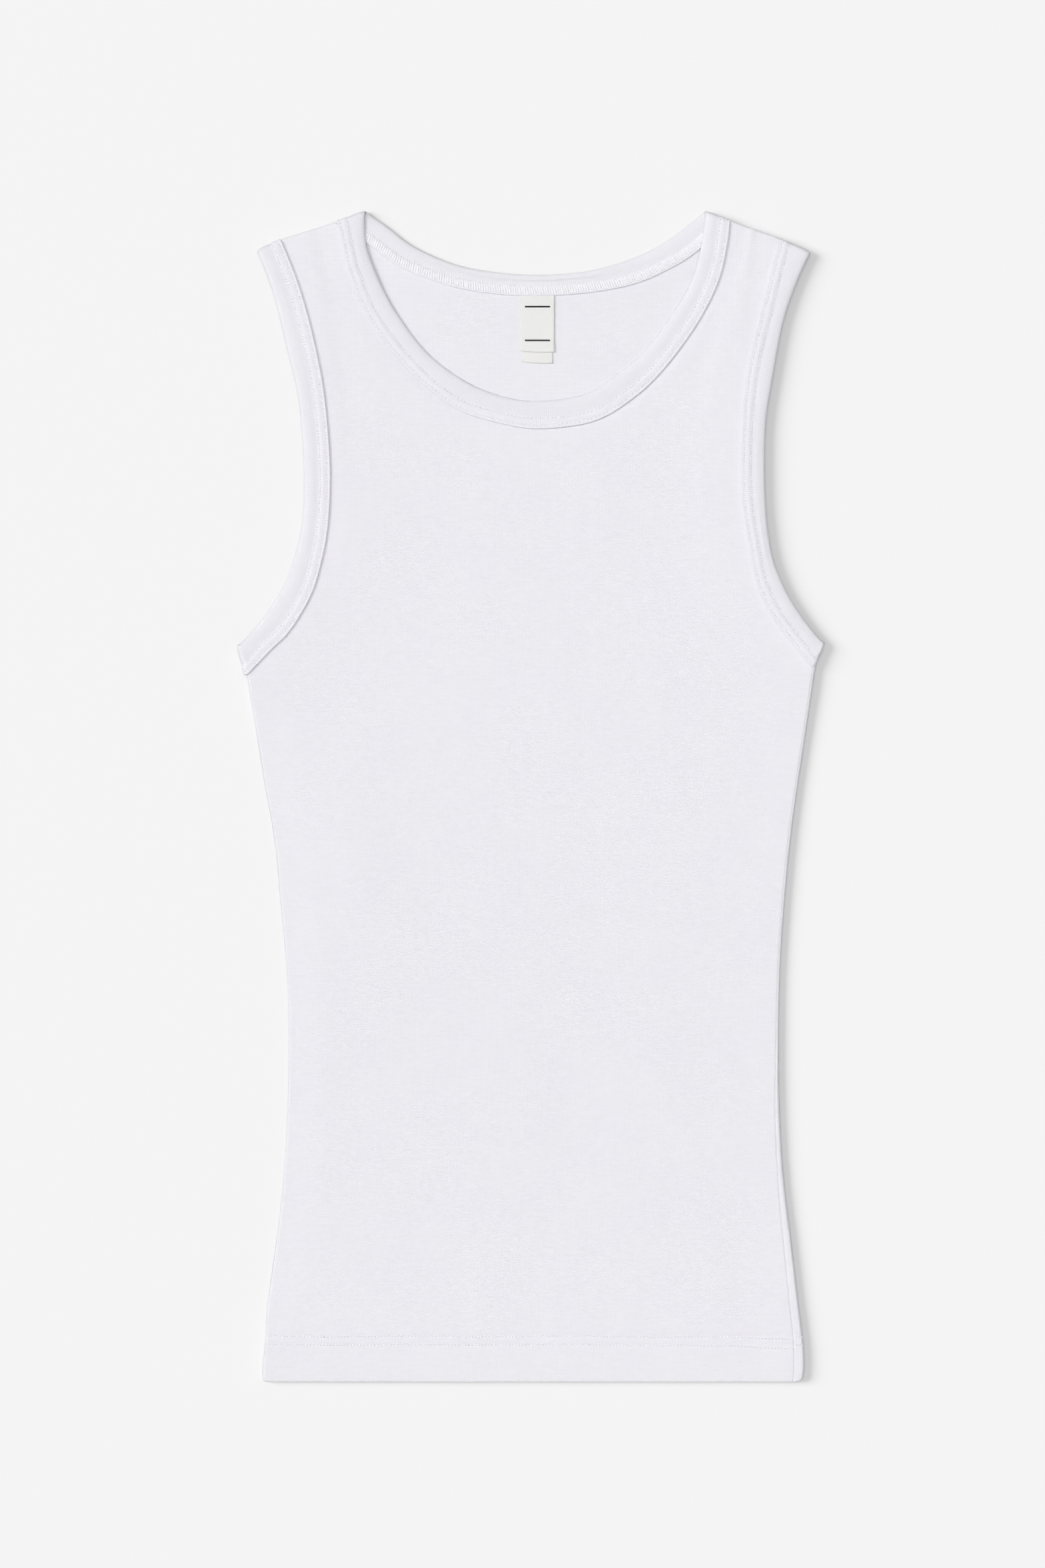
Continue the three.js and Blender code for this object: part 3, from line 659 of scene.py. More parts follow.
def sideFacts(y):
    left, right, seam = rowColumn(1, y), rowColumn(2, y), rowColumn(3, y)
    arcLeft, arcRight = np.interp(y, edgeYs, edgeFacts[1]), np.interp(y, edgeYs, edgeFacts[2])
    onArc = -np.arcsin(np.clip(1 - seam / foldAcross, 0, 1)) / math.pi * arcRight
    seamAt = np.where(seam >= foldAcross, seam - foldAcross, onArc)
    return left, right, arcLeft, arcRight, seamAt, right - left - 2 * foldAcross


def acrossFold(s, arc, depth):  # s is above 0 on the top, then goes round the fold and in under it
    angle = np.clip(-s / arc, 0, 1) * math.pi
    inset = (foldAcross - (foldAcross - depth) * np.sin(angle)
             + np.maximum(s, 0) + np.maximum(-s - arc, 0))
    return inset, 0.5 + 0.5 * np.cos(angle)


panelFacts = {
    "under": 0.9,  # the front goes this far in under the left fold and the shoulder folds
    "seamGap": 0.06,
    "seamRoll": (0.45, 0.24),  # width and depth of the seam's groove
    "cutInset": 3.2,  # the panel's raw edge inside a binding
    "cutClear": 0.4,
    "hemTurn": 0.85,  # outer radius of the hem's fold
    "hemInside": (-291.8, -299.0, -307.0, -313.0),  # rows of the mesh on the hem's inner layer
    "hemSteps": 6,  # and round its fold
    "hemZone": (-315.3, -313.6, -310.5, -306.0, -301.0, -298.0, -296.8, -296.1, -295.4, -293.8, -292.3,
                -291.6, -290.9, -289.0, -285.0, -280.0),
    "bodyZone": (-274.0, 54.0, 20.0),  # first row, end and step
    "armpitZone": (54.0, 60.0, 66.0, 72.0, 79.0),
    "topZone": (85.0, 318.0, 11.0),
    "neckRows": (9.0, 4.5, 1.8, 0.5),  # rows at these distances from a neck binding's laid edge
    "neckFrom": 185.0,  # they are looked for from here up, at this step
    "neckStep": 0.4,
    "neckClear": (2.0, 1.2),  # room below and above them
    "rowClear": 2.2,  # level rows keep this far from them
    "endClear": 0.8,  # and this far from a column's ends
    "columns": 640,  # one for each ridge and each valley of the ribs
    "outside": (162, -400),  # half width and foot of the cutting line, clear of the panel
    "shortest": 1.0,  # a stretch of a column under this length is left out
    "shoulderRows": 7,  # rows round a shoulder fold
    "shoulderRadius": 1.9,
    "hemOrder": -340,  # where the rows of a fold stand among a column's other rows
    "shoulderOrder": 400,
}


def shoulderAt(x):
    left, right = shoulderLines["left"], shoulderLines["right"]
    return np.where(x < 0, np.interp(x, left[:, 0], left[:, 1]), np.interp(x, right[:, 0], right[:, 1]))


def rolled(x, y, depth, share, top, low, fromSeam):  # a point of the cloth, whose edge rolls down at the seam
    rollWidth, rollDepth = panelFacts["seamRoll"]
    roll = np.exp(-(fromSeam / rollWidth) ** 2) * rollDepth
    return np.stack([x, y, low + depth + (top - low - 2 * depth) * share - roll], 1)


def frontPoint(u, y, depth, shoulder):
    left, right, arcLeft, arcRight, seamAt, flat = sideFacts(y)
    start = -arcLeft - panelFacts["under"]
    end = flat - seamAt - panelFacts["seamGap"]
    c = start + (end - start) * u
    isLeft = c <= 0.5 * flat
    s = np.where(isLeft, c, flat - c)
    inset, share = acrossFold(s, np.where(isLeft, arcLeft, arcRight), depth)
    x = np.where(isLeft, left + inset, right - inset)
    turned = ~np.isnan(shoulder)
    wrap = np.where(turned, shoulder, 0.0)
    fieldY = np.where(turned, shoulderAt(x) - foldAcross, y)
    top, low = frontHigh(x, fieldY), backLow(x, fieldY)
    insetY, shareY = acrossFold(wrap, foldArc(top, low), depth)
    share = np.where(turned, shareY, share)
    y = np.where(turned, shoulderAt(x) - insetY, y)
    return rolled(x, y, depth, share, top, low, end - c)


def backPoint(u, y, depth, shoulder):  # the back isn't turned at the shoulders
    left, right, arcLeft, arcRight, seamAt, flat = sideFacts(y)
    start = seamAt - panelFacts["seamGap"]
    end = -arcRight - (flat - panelFacts["under"] - panelFacts["seamGap"])
    s = start + (end - start) * u
    inset, share = acrossFold(s, arcRight, depth)
    x = right - inset
    return rolled(x, y, depth, share, frontHigh(x, y), backLow(x, y), start - s)


def inside(table):  # the part of a cut line that stays clear of the shoulder folds
    line = insetLine(table, panelFacts["cutInset"])
    return [tuple(p) for p in line if p[1] < shoulderAt(p[0]) - panelFacts["cutClear"]]


def cutOutline(neck, shoulderDrop):  # where a panel is cut, all inside the bindings and folds
    left, right, scoop = (inside(table) for table in (armholeLeft, armholeRight, neck))
    half, foot = panelFacts["outside"]
    corners = [(-half, foot), (-half, left[0][1]), *left]
    shoulders = []
    for hand, first, last in (("left", left[-1], scoop[0]), ("right", scoop[-1], right[-1])):
        xs = np.linspace(first[0], last[0], 24)
        if hand == "right":
            corners += scoop
        shoulders.append((len(corners), len(corners) + len(xs)))
        corners += list(zip(xs, shoulderAt(xs) - shoulderDrop))
    corners += [*right[::-1], (half, right[0][1]), (half, foot)]
    return np.array(corners), shoulders


def zipColumns(first, second, faces, reach=12.0):  # joins two columns of (v, index) side by side
    a = [p for p in first if second[0][0] - reach <= p[0] <= second[-1][0] + reach]
    b = [p for p in second if first[0][0] - reach <= p[0] <= first[-1][0] + reach]
    if len(a) < 2 or len(b) < 2:
        return
    i = j = 0
    while i < len(a) - 1 or j < len(b) - 1:
        nextA = a[i + 1][0] if i < len(a) - 1 else math.inf
        nextB = b[j + 1][0] if j < len(b) - 1 else math.inf
        if abs(nextA - nextB) < 1e-6:
            faces.append((a[i][1], b[j][1], b[j + 1][1], a[i + 1][1]))
            i, j = i + 1, j + 1
        elif nextA < nextB:
            faces.append((a[i][1], b[j][1], a[i + 1][1]))
            i += 1
        else:
            faces.append((a[i][1], b[j][1], b[j + 1][1]))
            j += 1


def hemRows():  # down the inside and round the fold: (v, y, depth)
    turn, edge, steps = panelFacts["hemTurn"], garment["hemEdge"], panelFacts["hemSteps"]
    rows = [(y, 2 * turn) for y in panelFacts["hemInside"]]
    for step in range(steps, 0, -1):
        angle = step * math.pi / steps
        rows.append((edge + turn * (1 - math.sin(angle)), turn * (1 - math.cos(angle))))
    return [(panelFacts["hemOrder"] + k, y, depth) for k, (y, depth) in enumerate(rows)]


def alongNeck(line, x, low, high):  # where a column meets the rows along a neck binding's laid edge
    ys = np.arange(max(low, panelFacts["neckFrom"]), high, panelFacts["neckStep"])
    if not len(ys):
        return []
    away = besideLine(line, np.full(len(ys), x), ys)[0]
    met = [ys[np.argmax(away < reach)] for reach in panelFacts["neckRows"] if away[0] > reach > away.min()]
    below, above = panelFacts["neckClear"]
    return sorted(y for y in met if low + below < y < high - above)


def panelMesh(name, neckLine, pointAt, neck, shoulderDrop, wrapsShoulder):
    facts = panelFacts
    outline, shoulders = cutOutline(neck, shoulderDrop)
    levels = np.concatenate([facts["hemZone"], np.arange(*facts["bodyZone"]),
                             facts["armpitZone"], np.arange(*facts["topZone"])])
    count = facts["columns"]
    shares = np.linspace(0, 1, count + 1)
    plan = pointAt(shares, np.full(count + 1, 90.0), np.zeros(count + 1), np.full(count + 1, np.nan))
    corners = []
    columns = []

    def add(i, y, depth, wrap):
        corners.append((shares[i], y, depth, wrap, i))
        return len(corners) - 1

    for i in range(count + 1):
        x = plan[i, 0]
        found = []
        for k in range(len(outline)):
            (x0, y0), (x1, y1) = outline[k], outline[(k + 1) % len(outline)]
            if (x0 <= x) != (x1 <= x):
                isShoulder = any(a - 1 <= k < b for a, b in shoulders)
                found.append((y0 + (x - x0) * (y1 - y0) / (x1 - x0), isShoulder))
        found.sort()
        runs = []
        for (y0, _), (y1, atShoulder) in zip(found[::2], found[1::2]):
            wrapped = wrapsShoulder and atShoulder
            top = y1 - foldAcross if wrapped else y1
            if top - y0 < facts["shortest"]:
                continue
            run = []
            if y0 < garment["hemEdge"]:
                run += [(v, add(i, y, depth, math.nan)) for v, y, depth in hemRows()]
            else:
                run.append((y0, add(i, y0, 0, math.nan)))
            near = alongNeck(neckLine, x, y0, top)
            clear = facts["endClear"]
            plain = [y for y in levels if y0 + clear < y < top - clear
                     and all(abs(y - other) > facts["rowClear"] for other in near)]
            run += [(y, add(i, y, 0, math.nan)) for y in sorted(plain + near)]
            if wrapped:
                order, last = facts["shoulderOrder"], facts["shoulderRows"]
                reach = math.pi * facts["shoulderRadius"] + facts["under"]
                run += [(order + k, add(i, top, 0, -reach * k / last)) for k in range(last + 1)]
            else:
                run.append((top, add(i, top, 0, math.nan)))
            runs.append(run)
        columns.append(runs)

    us, ys, depths, wraps, ribs = np.array(corners, float).T
    valley = (ribs % 2) * garment["ribDepth"]
    points = pointAt(us, ys, depths + valley, wraps)
    faces = []
    for first, second in zip(columns[:-1], columns[1:]):
        for runA in first:
            for runB in second:
                if min(runA[-1][0], runB[-1][0]) - max(runA[0][0], runB[0][0]) > facts["shortest"]:
                    zipColumns(runA, runB, faces)
    uvs = np.stack([ribs / 2, ys - depths], 1)
    return clothPiece(name, points, faces, uvs, bodyRib, garment["wall"])


def clothPiece(name, points, faces, uvs, material, wall=0.0):  # one uv for each point or each corner
    mesh = bpy.data.meshes.new(name)
    mesh.from_pydata((np.asarray(points) * mm).tolist(), [], faces)
    mesh.polygons.foreach_set("use_smooth", np.ones(len(mesh.polygons), bool))
    corners = np.empty(len(mesh.loops), int)
    mesh.loops.foreach_get("vertex_index", corners)
    layerUv = mesh.uv_layers.new(name="cloth")
    layerUv.data.foreach_set("uv", (uvs[corners] if len(uvs) == len(points) else uvs).ravel())
    piece = added(name, mesh)
    litBy["highLight"].objects.link(piece)
    if wall:
        thick = piece.modifiers.new("thickness", "SOLIDIFY")
        thick.thickness = wall * mm
        thick.offset = -1
        settle(piece)
    piece.data.materials.clear()
    piece.data.materials.append(material)
    return piece


def settle(piece):  # keeps what the modifiers made as a plain mesh
    bpy.context.view_layer.update()
    ready = piece.evaluated_get(bpy.context.evaluated_depsgraph_get())
    plain = bpy.data.meshes.new_from_object(ready)
    piece.modifiers.clear()
    piece.data = plain


backDrop = foldAcross + panelFacts["under"] + panelFacts["seamGap"]
frontBody = panelMesh("front body", "neckFront", frontPoint, neckFront, 0.0, True)
backBody = panelMesh("back body", "neckBack", backPoint, neckBack, backDrop, False)
print("body panels made", len(frontBody.data.polygons), len(backBody.data.polygons))


# bindings: one strip folded over the edge, all the way round from front to back

bindingFacts = {
    "ribStep": 0.535,  # half a rib
    "turnSteps": 14,
    "turnShare": 0.15,  # how much less than its height a turn takes off the path
    "innerRow": 5.6,  # needle rows, from the laid edge
    "outerRow": 1.8,
    "threadSink": {"outerRow": 0.08, "innerRow": 0.22},  # how deep their threads lie
    "pitAt": {"outerRow": 1, "innerRow": 3},  # which station has the pit
    "pit": 0.40,  # how much deeper the needle goes in there
    "dips": (  # from the laid edge, how far below full height, shares of the outer and inner pit
        (0.0, 0.12, 0, 0), (0.1, -0.10, 0, 0), (0.5, -0.22, 0, 0), (1.3, 0.0, 0.5, 0), (1.8, 0.06, 1, 0),
        (2.3, 0.0, 0.5, 0), (2.9, -0.10, 0, 0), (3.7, -0.12, 0, 0), (4.6, -0.10, 0, 0),
        (5.1, 0.06, 0, 0.5), (5.6, 0.26, 0, 1), (6.15, 0.28, 0, 0.5), (6.8, 0.22, 0, 0),
    ),
    "sewnTo": 6.4,  # from the laid edge
    "domeFrom": 7.8,
    "domeTo": 0.4,  # beyond the fold
    "puff": (0.10, -0.08, -0.12, -0.06),  # dips of the dome, between the inner row and the fold
    "foldSteps": 8,
    "ribDome": 0.44,  # depth of the rib valleys on the dome
    "ribSewn": 0.24,
    "stitchRibs": {"neck": 4, "left": 3, "right": 3},  # stations from one stitch to the next
    "slot": (0.47, 1.37),  # where the panel's edge lies between the strip's two layers
    "foldAcross": 2.6,
    "sag": 2.0,  # how far a fold's widest point sinks from half height
    "thinFold": 0.3,  # a strip has fewer layers at its fold than at its seam
    "thinTo": 2.0,
    "slotPlan": (0.1, 5.0, 3.4, 2.6),  # mouth and next point from the laid edge, end and tip from the fold
    "underLeast": 0.02,
}


def bindingSection(station, k, every):  # (inset from the fold, height): laid edge, over the top and back
    stack, facts, width = garment["bindingStack"], bindingFacts, station["width"]
    dome, sewn = (k % 2 * facts[key] for key in ("ribDome", "ribSewn"))  # how deep this station's valley is
    turned = 0.5 - 0.5 * math.cos(station["turn"])  # a strip on the back lies the other way up
    outerPit, innerPit = (facts["pit"] * (k % every == facts["pitAt"][row] % every)
                          for row in ("outerRow", "innerRow"))
    face = []
    for fromEdge, dip, outer, inner in facts["dips"]:
        valley = sewn if fromEdge < facts["sewnTo"] else dome
        face.append((width - fromEdge, dip + outer * outerPit + inner * innerPit + valley))
    start, end = width - facts["domeFrom"], facts["foldAcross"] + facts["domeTo"]
    for step, dip in enumerate(facts["puff"]):
        face.append((start + (end - start) * step / (len(facts["puff"]) - 1), dome + dip))
    over = [(s, stack - dip) for s, dip in face]
    fold = []
    for step in range(facts["foldSteps"] + 1):
        angle = step * math.pi / facts["foldSteps"]
        share = 0.5 + 0.5 * math.cos(angle)
        height = stack * (share ** facts["sag"] * (1 - turned) + (1 - (1 - share) ** facts["sag"]) * turned)
        fold.append((facts["foldAcross"] - (facts["foldAcross"] - dome) * math.sin(angle),
                     dome + height * (stack - 2 * dome) / stack))
    under = [(s, max(dip, facts["underLeast"])) for s, dip in reversed(face)]
    skin = []
    for s, height in over + fold + under:
        thin = facts["thinFold"] * (1 - float(smooth(facts["thinTo"], width - facts["sewnTo"], s)))
        skin.append((s, thin * turned + height * (stack - thin) / stack))
    low, high = (a * (1 - turned) + (stack - b) * turned for a, b in (facts["slot"], facts["slot"][::-1]))
    mouth, second, third, tip = facts["slotPlan"]
    sides = (width - mouth, width - second, third)
    slot = [(s, low) for s in sides] + [(tip, 0.5 * (low + high))] + [(s, high) for s in sides[::-1]]
    return np.array(skin + slot)


def arcShares(table, step):  # shares of a path, evenly spaced along the middle of the strip
    t = np.linspace(0, 1, 800)
    at = curveAt(table, t)
    middle = 0.5 * (at[:, 0:2] + at[:, 2:4])
    length = np.concatenate([[0], np.cumsum(np.linalg.norm(np.diff(middle, axis=0), axis=1))])
    turn = turnLevel - bindingFacts["turnShare"]
    count = int((length[-1] - 2 * turn) / step)
    return np.interp(np.linspace(turn, length[-1] - turn, count), length, t)


def stationsOf(front, back, every):  # where each section stands round the opening, and how it is turned

    def place(table, t, turn):
        band, near = bandAt(table, t), 0.004
        ahead = bandAt(table, min(t + near, 1))["edge"] - bandAt(table, max(t - near, 0))["edge"]
        normal = np.array([-band["inward"][1], band["inward"][0]])
        if normal @ ahead < 0:
            normal = -normal
        base = band["row"][4] if len(band["row"]) > 4 else frontBase
        return {"edge": band["edge"], "inward": band["inward"], "width": float(band["width"]),
                "out": normal, "turn": turn, "base": float(base)}

    frontShares = arcShares(front, bindingFacts["ribStep"])
    backShares = arcShares(back, bindingFacts["ribStep"])
    stations = [place(front, t, 0.0) for t in frontShares]
    stations += turnBetween(place(front, frontShares[-1], 0), place(back, backShares[-1], 0), 1)
    behind = [place(back, t, math.pi) for t in backShares[::-1]]
    for station in behind:
        station["base"] = frontBase
    stations += behind
    stations += turnBetween(place(back, backShares[0], 0), place(front, frontShares[0], 0), -1)
    while len(stations) % every:  # so that the stitches meet where the row closes
        stations.pop()
    return stations


def turnBetween(first, second, side):  # the strip goes round the garment's edge, from one layer to the other
    made = []
    steps = bindingFacts["turnSteps"]
    for k in range(1, steps):
        share = k / steps
        station = {key: first[key] * (1 - share) + second[key] * share
                   for key in ("edge", "inward", "width", "out")}
        station["out"] = side * station["out"] / np.linalg.norm(station["out"])
        station["turn"] = math.pi * (share if side > 0 else 1 - share)
        station["base"] = frontBase
        made.append(station)
    return made


def placed(station, section):  # a section's points, in the garment's own place
    r = station["base"] + section[:, 1] - turnLevel
    outward = np.outer(r * math.sin(station["turn"]), station["out"])
    plan = station["edge"] + station["inward"] * section[:, :1] + outward
    return np.column_stack([plan, turnLevel + r * math.cos(station["turn"])])


def rowPoints(stations, fromEdge, level):  # a line of points along a strip
    return np.array([placed(s, np.array([(s["width"] - fromEdge, level)]))[0] for s in stations])


def bindingMesh(name, opening):
    stations, every = openings[opening], bindingFacts["stitchRibs"][opening]
    rings = [placed(s, bindingSection(s, k, every)) for k, s in enumerate(stations)]
    size, count = len(rings[0]), len(rings)
    points = np.concatenate(rings)
    faces, uvs = [], []
    sides = np.diff(rings[0], axis=0, append=rings[0][:1])
    girth = np.concatenate([[0], np.cumsum(np.linalg.norm(sides, axis=1))])
    for i in range(count):
        for j in range(size):
            nextI, nextJ = (i + 1) % count, (j + 1) % size
            faces.append((i * size + j, i * size + nextJ, nextI * size + nextJ, nextI * size + j))
            uvs += [(i / 2, girth[j]), (i / 2, girth[j + 1]),
                    ((i + 1) / 2, girth[j + 1]), ((i + 1) / 2, girth[j])]
    piece = clothPiece(name, points, faces, np.array(uvs), bindingRib)
    if volumeOf(piece) < 0:
        piece.data.flip_normals()
    return piece


def volumeOf(piece):
    mesh = piece.data
    mesh.calc_loop_triangles()
    points = np.empty(len(mesh.vertices) * 3)
    mesh.vertices.foreach_get("co", points)
    corners = np.empty(len(mesh.loop_triangles) * 3, int)
    mesh.loop_triangles.foreach_get("vertices", corners)
    a, b, c = (points.reshape(-1, 3)[corners.reshape(-1, 3)[:, k]] for k in range(3))
    return float((a * np.cross(b, c)).sum() / 6)


openings = {
    name: stationsOf(front, back, bindingFacts["stitchRibs"][name])
    for name, front, back in (("neck", neckFront, neckBack), ("left", armholeLeft, armholeLeft),
                              ("right", armholeRight, armholeRight))
}
neckBinding = bindingMesh("neck binding strip", "neck")
armBindings = {hand: bindingMesh(f"armhole binding strip {hand}", hand) for hand in ("left", "right")}
print("bindings made", len(neckBinding.data.polygons), [len(p.data.polygons) for p in armBindings.values()])


# stitches, by geometry nodes along the needle rows

def newTree(name, inputs):
    tree = bpy.data.node_groups.new(name, "GeometryNodeTree")
    tree.interface.new_socket("Geometry", in_out="INPUT", socket_type="NodeSocketGeometry")
    for label, kind, value in inputs:
        socket = tree.interface.new_socket(label, in_out="INPUT", socket_type=kind)
        if value is not None:
            socket.default_value = value
    tree.interface.new_socket("Geometry", in_out="OUTPUT", socket_type="NodeSocketGeometry")
    start, end = tree.nodes.new("NodeGroupInput"), tree.nodes.new("NodeGroupOutput")

    def node(kind, settings, sockets):
        made = tree.nodes.new(kind)
        for key, value in settings.items():
            setattr(made, key, value)
        for key, value in sockets.items():
            if isinstance(value, bpy.types.NodeSocket):
                tree.links.new(value, made.inputs[key])
            else:
                made.inputs[key].default_value = value
        return made.outputs

    def maths(operation, *values):
        return node("ShaderNodeMath", {"operation": operation}, dict(enumerate(values)))[0]

    def finished(shape):  # real and smooth, in the tree's material
        real = node("GeometryNodeRealizeInstances", {}, {"Geometry": shape})["Geometry"]
        soft = node("GeometryNodeSetShadeSmooth", {}, {"Geometry": real})["Geometry"]
        sockets = {"Geometry": soft, "Material": start.outputs["Material"]}
        tree.links.new(node("GeometryNodeSetMaterial", {}, sockets)["Geometry"], end.inputs["Geometry"])
        return tree

    return node, maths, finished, start.outputs


def needleTree():  # one short lying stitch after another
    node, maths, finished, given = newTree("needle row", [
        ("Length", "NodeSocketFloat", 0.0015), ("Thickness", "NodeSocketFloat", 0.0004),
        ("Seed", "NodeSocketInt", 1), ("Material", "NodeSocketMaterial", None)])
    curve = node("GeometryNodeMeshToCurve", {}, {"Mesh": given["Geometry"]})["Curve"]
    spots = node("GeometryNodeCurveToPoints", {"mode": "EVALUATED"}, {"Curve": curve})
    grain = node("GeometryNodeMeshUVSphere", {}, {"Segments": 6, "Rings": 5, "Radius": 1.0})["Mesh"]
    halfLength = maths("MULTIPLY", given["Length"], 0.5)
    radius = maths("MULTIPLY", given["Thickness"], 0.5)
    size = node("ShaderNodeCombineXYZ", {}, {0: radius, 1: radius, 2: halfLength})[0]
    sockets = {2: 0.86, 3: 1.08, "Seed": given["Seed"]}  # each stitch a little shorter or longer
    vary = node("FunctionNodeRandomValue", {"data_type": "FLOAT"}, sockets)[1]
    scale = node("ShaderNodeVectorMath", {"operation": "SCALE"}, {0: size, "Scale": vary})[0]
    sockets = {"Points": spots["Points"], "Instance": grain, "Rotation": spots["Rotation"], "Scale": scale}
    return finished(node("GeometryNodeInstanceOnPoints", {}, sockets)["Instances"])


def looperTree():  # a cover thread that swings from side to side along the row
    node, maths, finished, given = newTree("looper band", [
        ("Pitch", "NodeSocketFloat", 0.0018), ("Width", "NodeSocketFloat", 0.005),
        ("Thickness", "NodeSocketFloat", 0.0004), ("Phase", "NodeSocketFloat", 0.0),
        ("Material", "NodeSocketMaterial", None)])
    curve = node("GeometryNodeMeshToCurve", {}, {"Mesh": given["Geometry"]})["Curve"]
    fine = maths("DIVIDE", given["Pitch"], 8.0)  # eight points for each swing
    even = node("GeometryNodeResampleCurve", {"mode": "LENGTH"}, {"Curve": curve, "Length": fine})["Curve"]
    index = node("GeometryNodeInputIndex", {}, {})[0]
    phase = maths("ADD", maths("MULTIPLY", index, math.pi / 4), given["Phase"])
    reach = maths("MULTIPLY", maths("SINE", phase), maths("MULTIPLY", given["Width"], 0.5))
    lift = maths("MULTIPLY", maths("COSINE", phase), given["Thickness"])
    tangent = node("GeometryNodeInputTangent", {}, {})[0]
    sideways = node("ShaderNodeVectorMath", {"operation": "CROSS_PRODUCT"}, {0: tangent, 1: (0, 0, 1)})[0]
    moved = node("ShaderNodeVectorMath", {"operation": "SCALE"}, {0: sideways, "Scale": reach})[0]
    up = node("ShaderNodeCombineXYZ", {}, {2: maths("MULTIPLY", lift, 0.13)})[0]
    offset = node("ShaderNodeVectorMath", {"operation": "ADD"}, {0: moved, 1: up})[0]
    wavy = node("GeometryNodeSetPosition", {}, {"Geometry": even, "Offset": offset})["Geometry"]
    radius = maths("MULTIPLY", given["Thickness"], 0.5)
    ring = node("GeometryNodeCurvePrimitiveCircle", {}, {"Resolution": 6, "Radius": radius})["Curve"]
    sockets = {"Curve": wavy, "Profile Curve": ring, "Fill Caps": True}
    return finished(node("GeometryNodeCurveToMesh", {}, sockets)["Mesh"])


def sewn(name, tree, rows, values):  # rows are lists of points in mm, each closed or open
    points, edges = [], []
    for row, closed in rows:
        start = len(points)
        points += [tuple(p * mm) for p in np.asarray(row)]
        edges += [(start + k, start + k + 1) for k in range(len(row) - 1)]
        if closed:
            edges.append((len(points) - 1, start))
    mesh = bpy.data.meshes.new(name)
    mesh.from_pydata(points, edges, [])
    piece = added(name, mesh)
    modifier = piece.modifiers.new("sewing", "NODES")
    modifier.node_group = tree
    identifiers = {item.name: item.identifier for item in tree.interface.items_tree
                   if item.item_type == "SOCKET"}
    for key, value in {**values, "Material": thread}.items():
        modifier[identifiers[key]] = value
    litBy["highLight"].objects.link(piece)
    settle(piece)
    return piece


stitchFacts = {
    "hemPitch": 1.82,
    "hem": {"Length": 1.3 * mm, "Thickness": 0.76 * mm},
    "binding": {"Thickness": 0.54 * mm},
    "bindingGap": 0.5,  # between one binding stitch and the next
    "hemRows": ((-291.6, -293.2), (-296.1, -298.3)),  # height of each row, and at its right end
    "hemSpan": (0.004, 0.996, 3200),  # shares of the panel's width, and points that are tried
    "hemSink": (40, 105),  # from where and over what length a row sinks to its right end
    "waver": ((0.25, 13), (0.12, 4.1)),
    "looper": {"Pitch": 2.7 * mm, "Width": 4.0 * mm, "Thickness": 1.15 * mm},
    "looperThreads": 2,
    "looperAt": (2.9, 0.52),  # from the laid edge, and height on the inner face
}
needle, looper = needleTree(), looperTree()


def bindingRow(opening, row):
    every = bindingFacts["stitchRibs"][opening]
    first = (bindingFacts["pitAt"][row] + every // 2) % every  # half way between two pits
    level = garment["bindingStack"] - bindingFacts["threadSink"][row]
    return rowPoints(openings[opening][first::every], bindingFacts[row], level)


def hemRow(pointAt, level, rightLevel):  # a little wavy, and lower at its right end
    u = np.linspace(*stitchFacts["hemSpan"])
    plain, depth = np.full(len(u), np.nan), np.zeros(len(u))
    x = pointAt(u, np.full(len(u), level), depth, plain)[:, 0]
    sinkFrom, sinkOver = stitchFacts["hemSink"]
    share = np.clip((x - sinkFrom) / sinkOver, 0, 1)
    waver = sum(height * np.sin(x / length) for height, length in stitchFacts["waver"])
    points = pointAt(u, level + (rightLevel - level) * share ** 2 + waver, depth, plain)
    gone = np.concatenate([[0], np.cumsum(np.linalg.norm(np.diff(points, axis=0), axis=1))])
    return points[np.searchsorted(gone, np.arange(0, gone[-1], stitchFacts["hemPitch"]))]


frontHemStitches = sewn("front hem stitches", needle,
                        [(hemRow(frontPoint, *rows), False) for rows in stitchFacts["hemRows"]],
                        {**stitchFacts["hem"], "Seed": 3})
backHemStitches = sewn("back hem stitches", needle,
                       [(hemRow(backPoint, rows[0], rows[0]), False) for rows in stitchFacts["hemRows"]],
                       {**stitchFacts["hem"], "Seed": 4})
bindingStitches = {}
for seed, opening in enumerate(openings):
    rows = [(bindingRow(opening, row), True) for row in ("innerRow", "outerRow")]
    length = bindingFacts["stitchRibs"][opening] * bindingFacts["ribStep"] - stitchFacts["bindingGap"]
    bindingStitches[opening] = sewn(f"{opening} binding stitches", needle, rows, {
        **stitchFacts["binding"], "Length": length * mm, "Seed": 5 + seed})


behindNeck = [s for s in openings["neck"] if s["turn"] == math.pi]
looperRow = rowPoints(behindNeck, *stitchFacts["looperAt"])  # on the inner face of the back neck binding
looperBands = [
    sewn(f"neck looper thread {k + 1}", looper, [(looperRow, False)],
         {**stitchFacts["looper"], "Phase": k * 2 * math.pi / stitchFacts["looperThreads"]})
    for k in range(stitchFacts["looperThreads"])
]
print("stitches made", [len(p.data.polygons) for p in (frontHemStitches, *bindingStitches.values())])


# labels

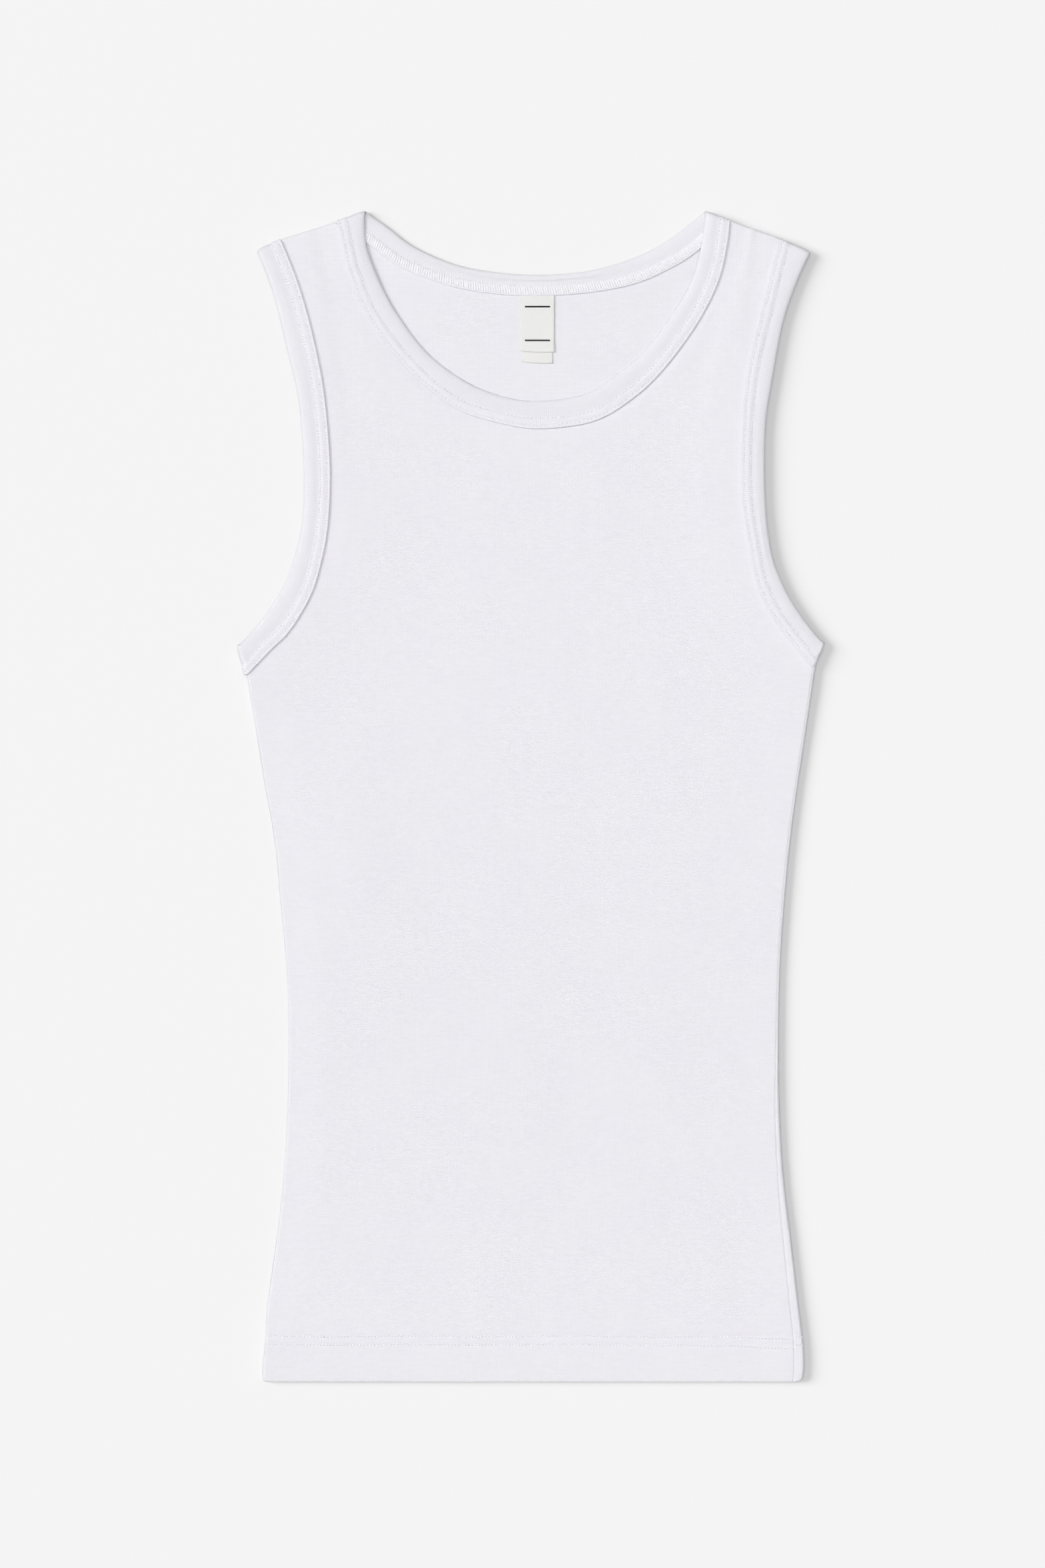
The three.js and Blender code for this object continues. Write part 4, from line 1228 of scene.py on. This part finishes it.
labelFacts = {
    "neck": {"left": -5.8, "right": 12.6, "top": 271.6, "bottom": 240.3, "skew": 0.5, "shift": 0.05,
             "lift": 0.55, "tuck": 1.66 + 0.12, "thick": 0.35},
    "size": {"left": -5.0, "right": 11.8, "top": 271.2, "bottom": 234.4, "skew": 0.9, "shift": 0.2,
             "lift": 0.12, "tuck": 1.66, "thick": 0.3},
    "grid": (24, 40),  # faces across and along
    "bow": 0.35,  # the lower edge bows down in the middle
    "looseTo": 0.25,  # share of its length that isn't held down
    "curl": (0.35, 0.12),  # how much its right corner and its lower edge lift
    "crown": 0.08,
    "tuckZone": (268.5, 270.5),  # from here up a label is pressed down, to lie under the binding
}


def labelPiece(name, facts):
    across, along = labelFacts["grid"]
    xs = np.linspace(facts["left"], facts["right"], across + 1)
    x, share = (values.ravel() for values in np.meshgrid(xs, np.linspace(0, 1, along + 1)))
    side = (x - facts["left"]) / (facts["right"] - facts["left"])
    y = facts["bottom"] + (facts["top"] - facts["bottom"]) * share
    y = y - facts["skew"] * (side - 0.5) * (1 - share)
    y = y - labelFacts["bow"] * (1 - share) * np.sin(math.pi * side)
    x = x - (1 - share) * facts["shift"]
    loose = 1 - smooth(0.0, labelFacts["looseTo"], share)
    cornerLift, edgeLift = labelFacts["curl"]
    level = backLow(x, y) + garment["wall"] + facts["lift"]
    level = level + loose * (cornerLift * side ** 2 + edgeLift) + labelFacts["crown"] * np.sin(side * math.pi)
    tucked = smooth(*labelFacts["tuckZone"], y)
    level = level * (1 - tucked) + np.minimum(level, facts["tuck"]) * tucked
    points = np.column_stack([x, y, level + facts["thick"]])
    starts = [r * (across + 1) + c for r in range(along) for c in range(across)]
    faces = [(k, k + 1, k + across + 2, k + across + 1) for k in starts]
    return clothPiece(name, points, faces, np.column_stack([x, y]), labelTape, facts["thick"])


neckLabel = labelPiece("neck label tape", labelFacts["neck"])
sizeLabel = labelPiece("size label tape", labelFacts["size"])
print("labels made")


# what rides on what, and what each sheet was cut to

bodyFlat, armFlat = (0.312, 0.660), (0.033, 0.500)
pieces = [  # piece, slot, the node it replaces, rows sewn on it, what it rests on, its cut
    (frontBody, "body_rib", "front_panel", [frontHemStitches], backBody, {"flat": bodyFlat, "area": 0.163}),
    (backBody, "body_rib", "back_panel", [backHemStitches], None, {"flat": bodyFlat, "area": 0.172}),
    (neckBinding, "binding_rib", "neck_binding", [bindingStitches["neck"], *looperBands], backBody,
     {"flat": (0.033, 0.520)}),
    (armBindings["left"], "binding_rib", "armhole_binding_left", [bindingStitches["left"]], backBody,
     {"flat": armFlat}),
    (armBindings["right"], "binding_rib", "armhole_binding_right", [bindingStitches["right"]], backBody,
     {"flat": armFlat}),
    (neckLabel, "label_cloth", "neck_label", [], sizeLabel, {"flat": (0.0184, 0.0313)}),
    (sizeLabel, "label_cloth", "size_label", [], backBody, {"flat": (0.0168, 0.0368)}),
]
for piece, slot, node, rows, under, cut in pieces:
    for made in (piece, *rows):
        made.name = made.name.replace(" ", "_")
        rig.ride(made, "root")
        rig.slot(made, slot)
    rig.replaces(piece, node)
for piece, slot, node, rows, under, cut in pieces:
    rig.sheet(piece, held="laid", rests_on=[under] if under else [], with_pieces=rows, **cut)

triangles = 0
for made in bpy.context.scene.objects:
    if made.type == "MESH" and not made.hide_render and not made.get("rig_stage"):
        made.data.calc_loop_triangles()
        triangles += len(made.data.loop_triangles)
        print(made.name, len(made.data.loop_triangles))
print("triangles", triangles)

with open("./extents.json", "w") as sizeFile:
    json.dump({"cad": np.array(cadBox).tolist(), "visual": np.array(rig.bounds()).tolist()}, sizeFile)
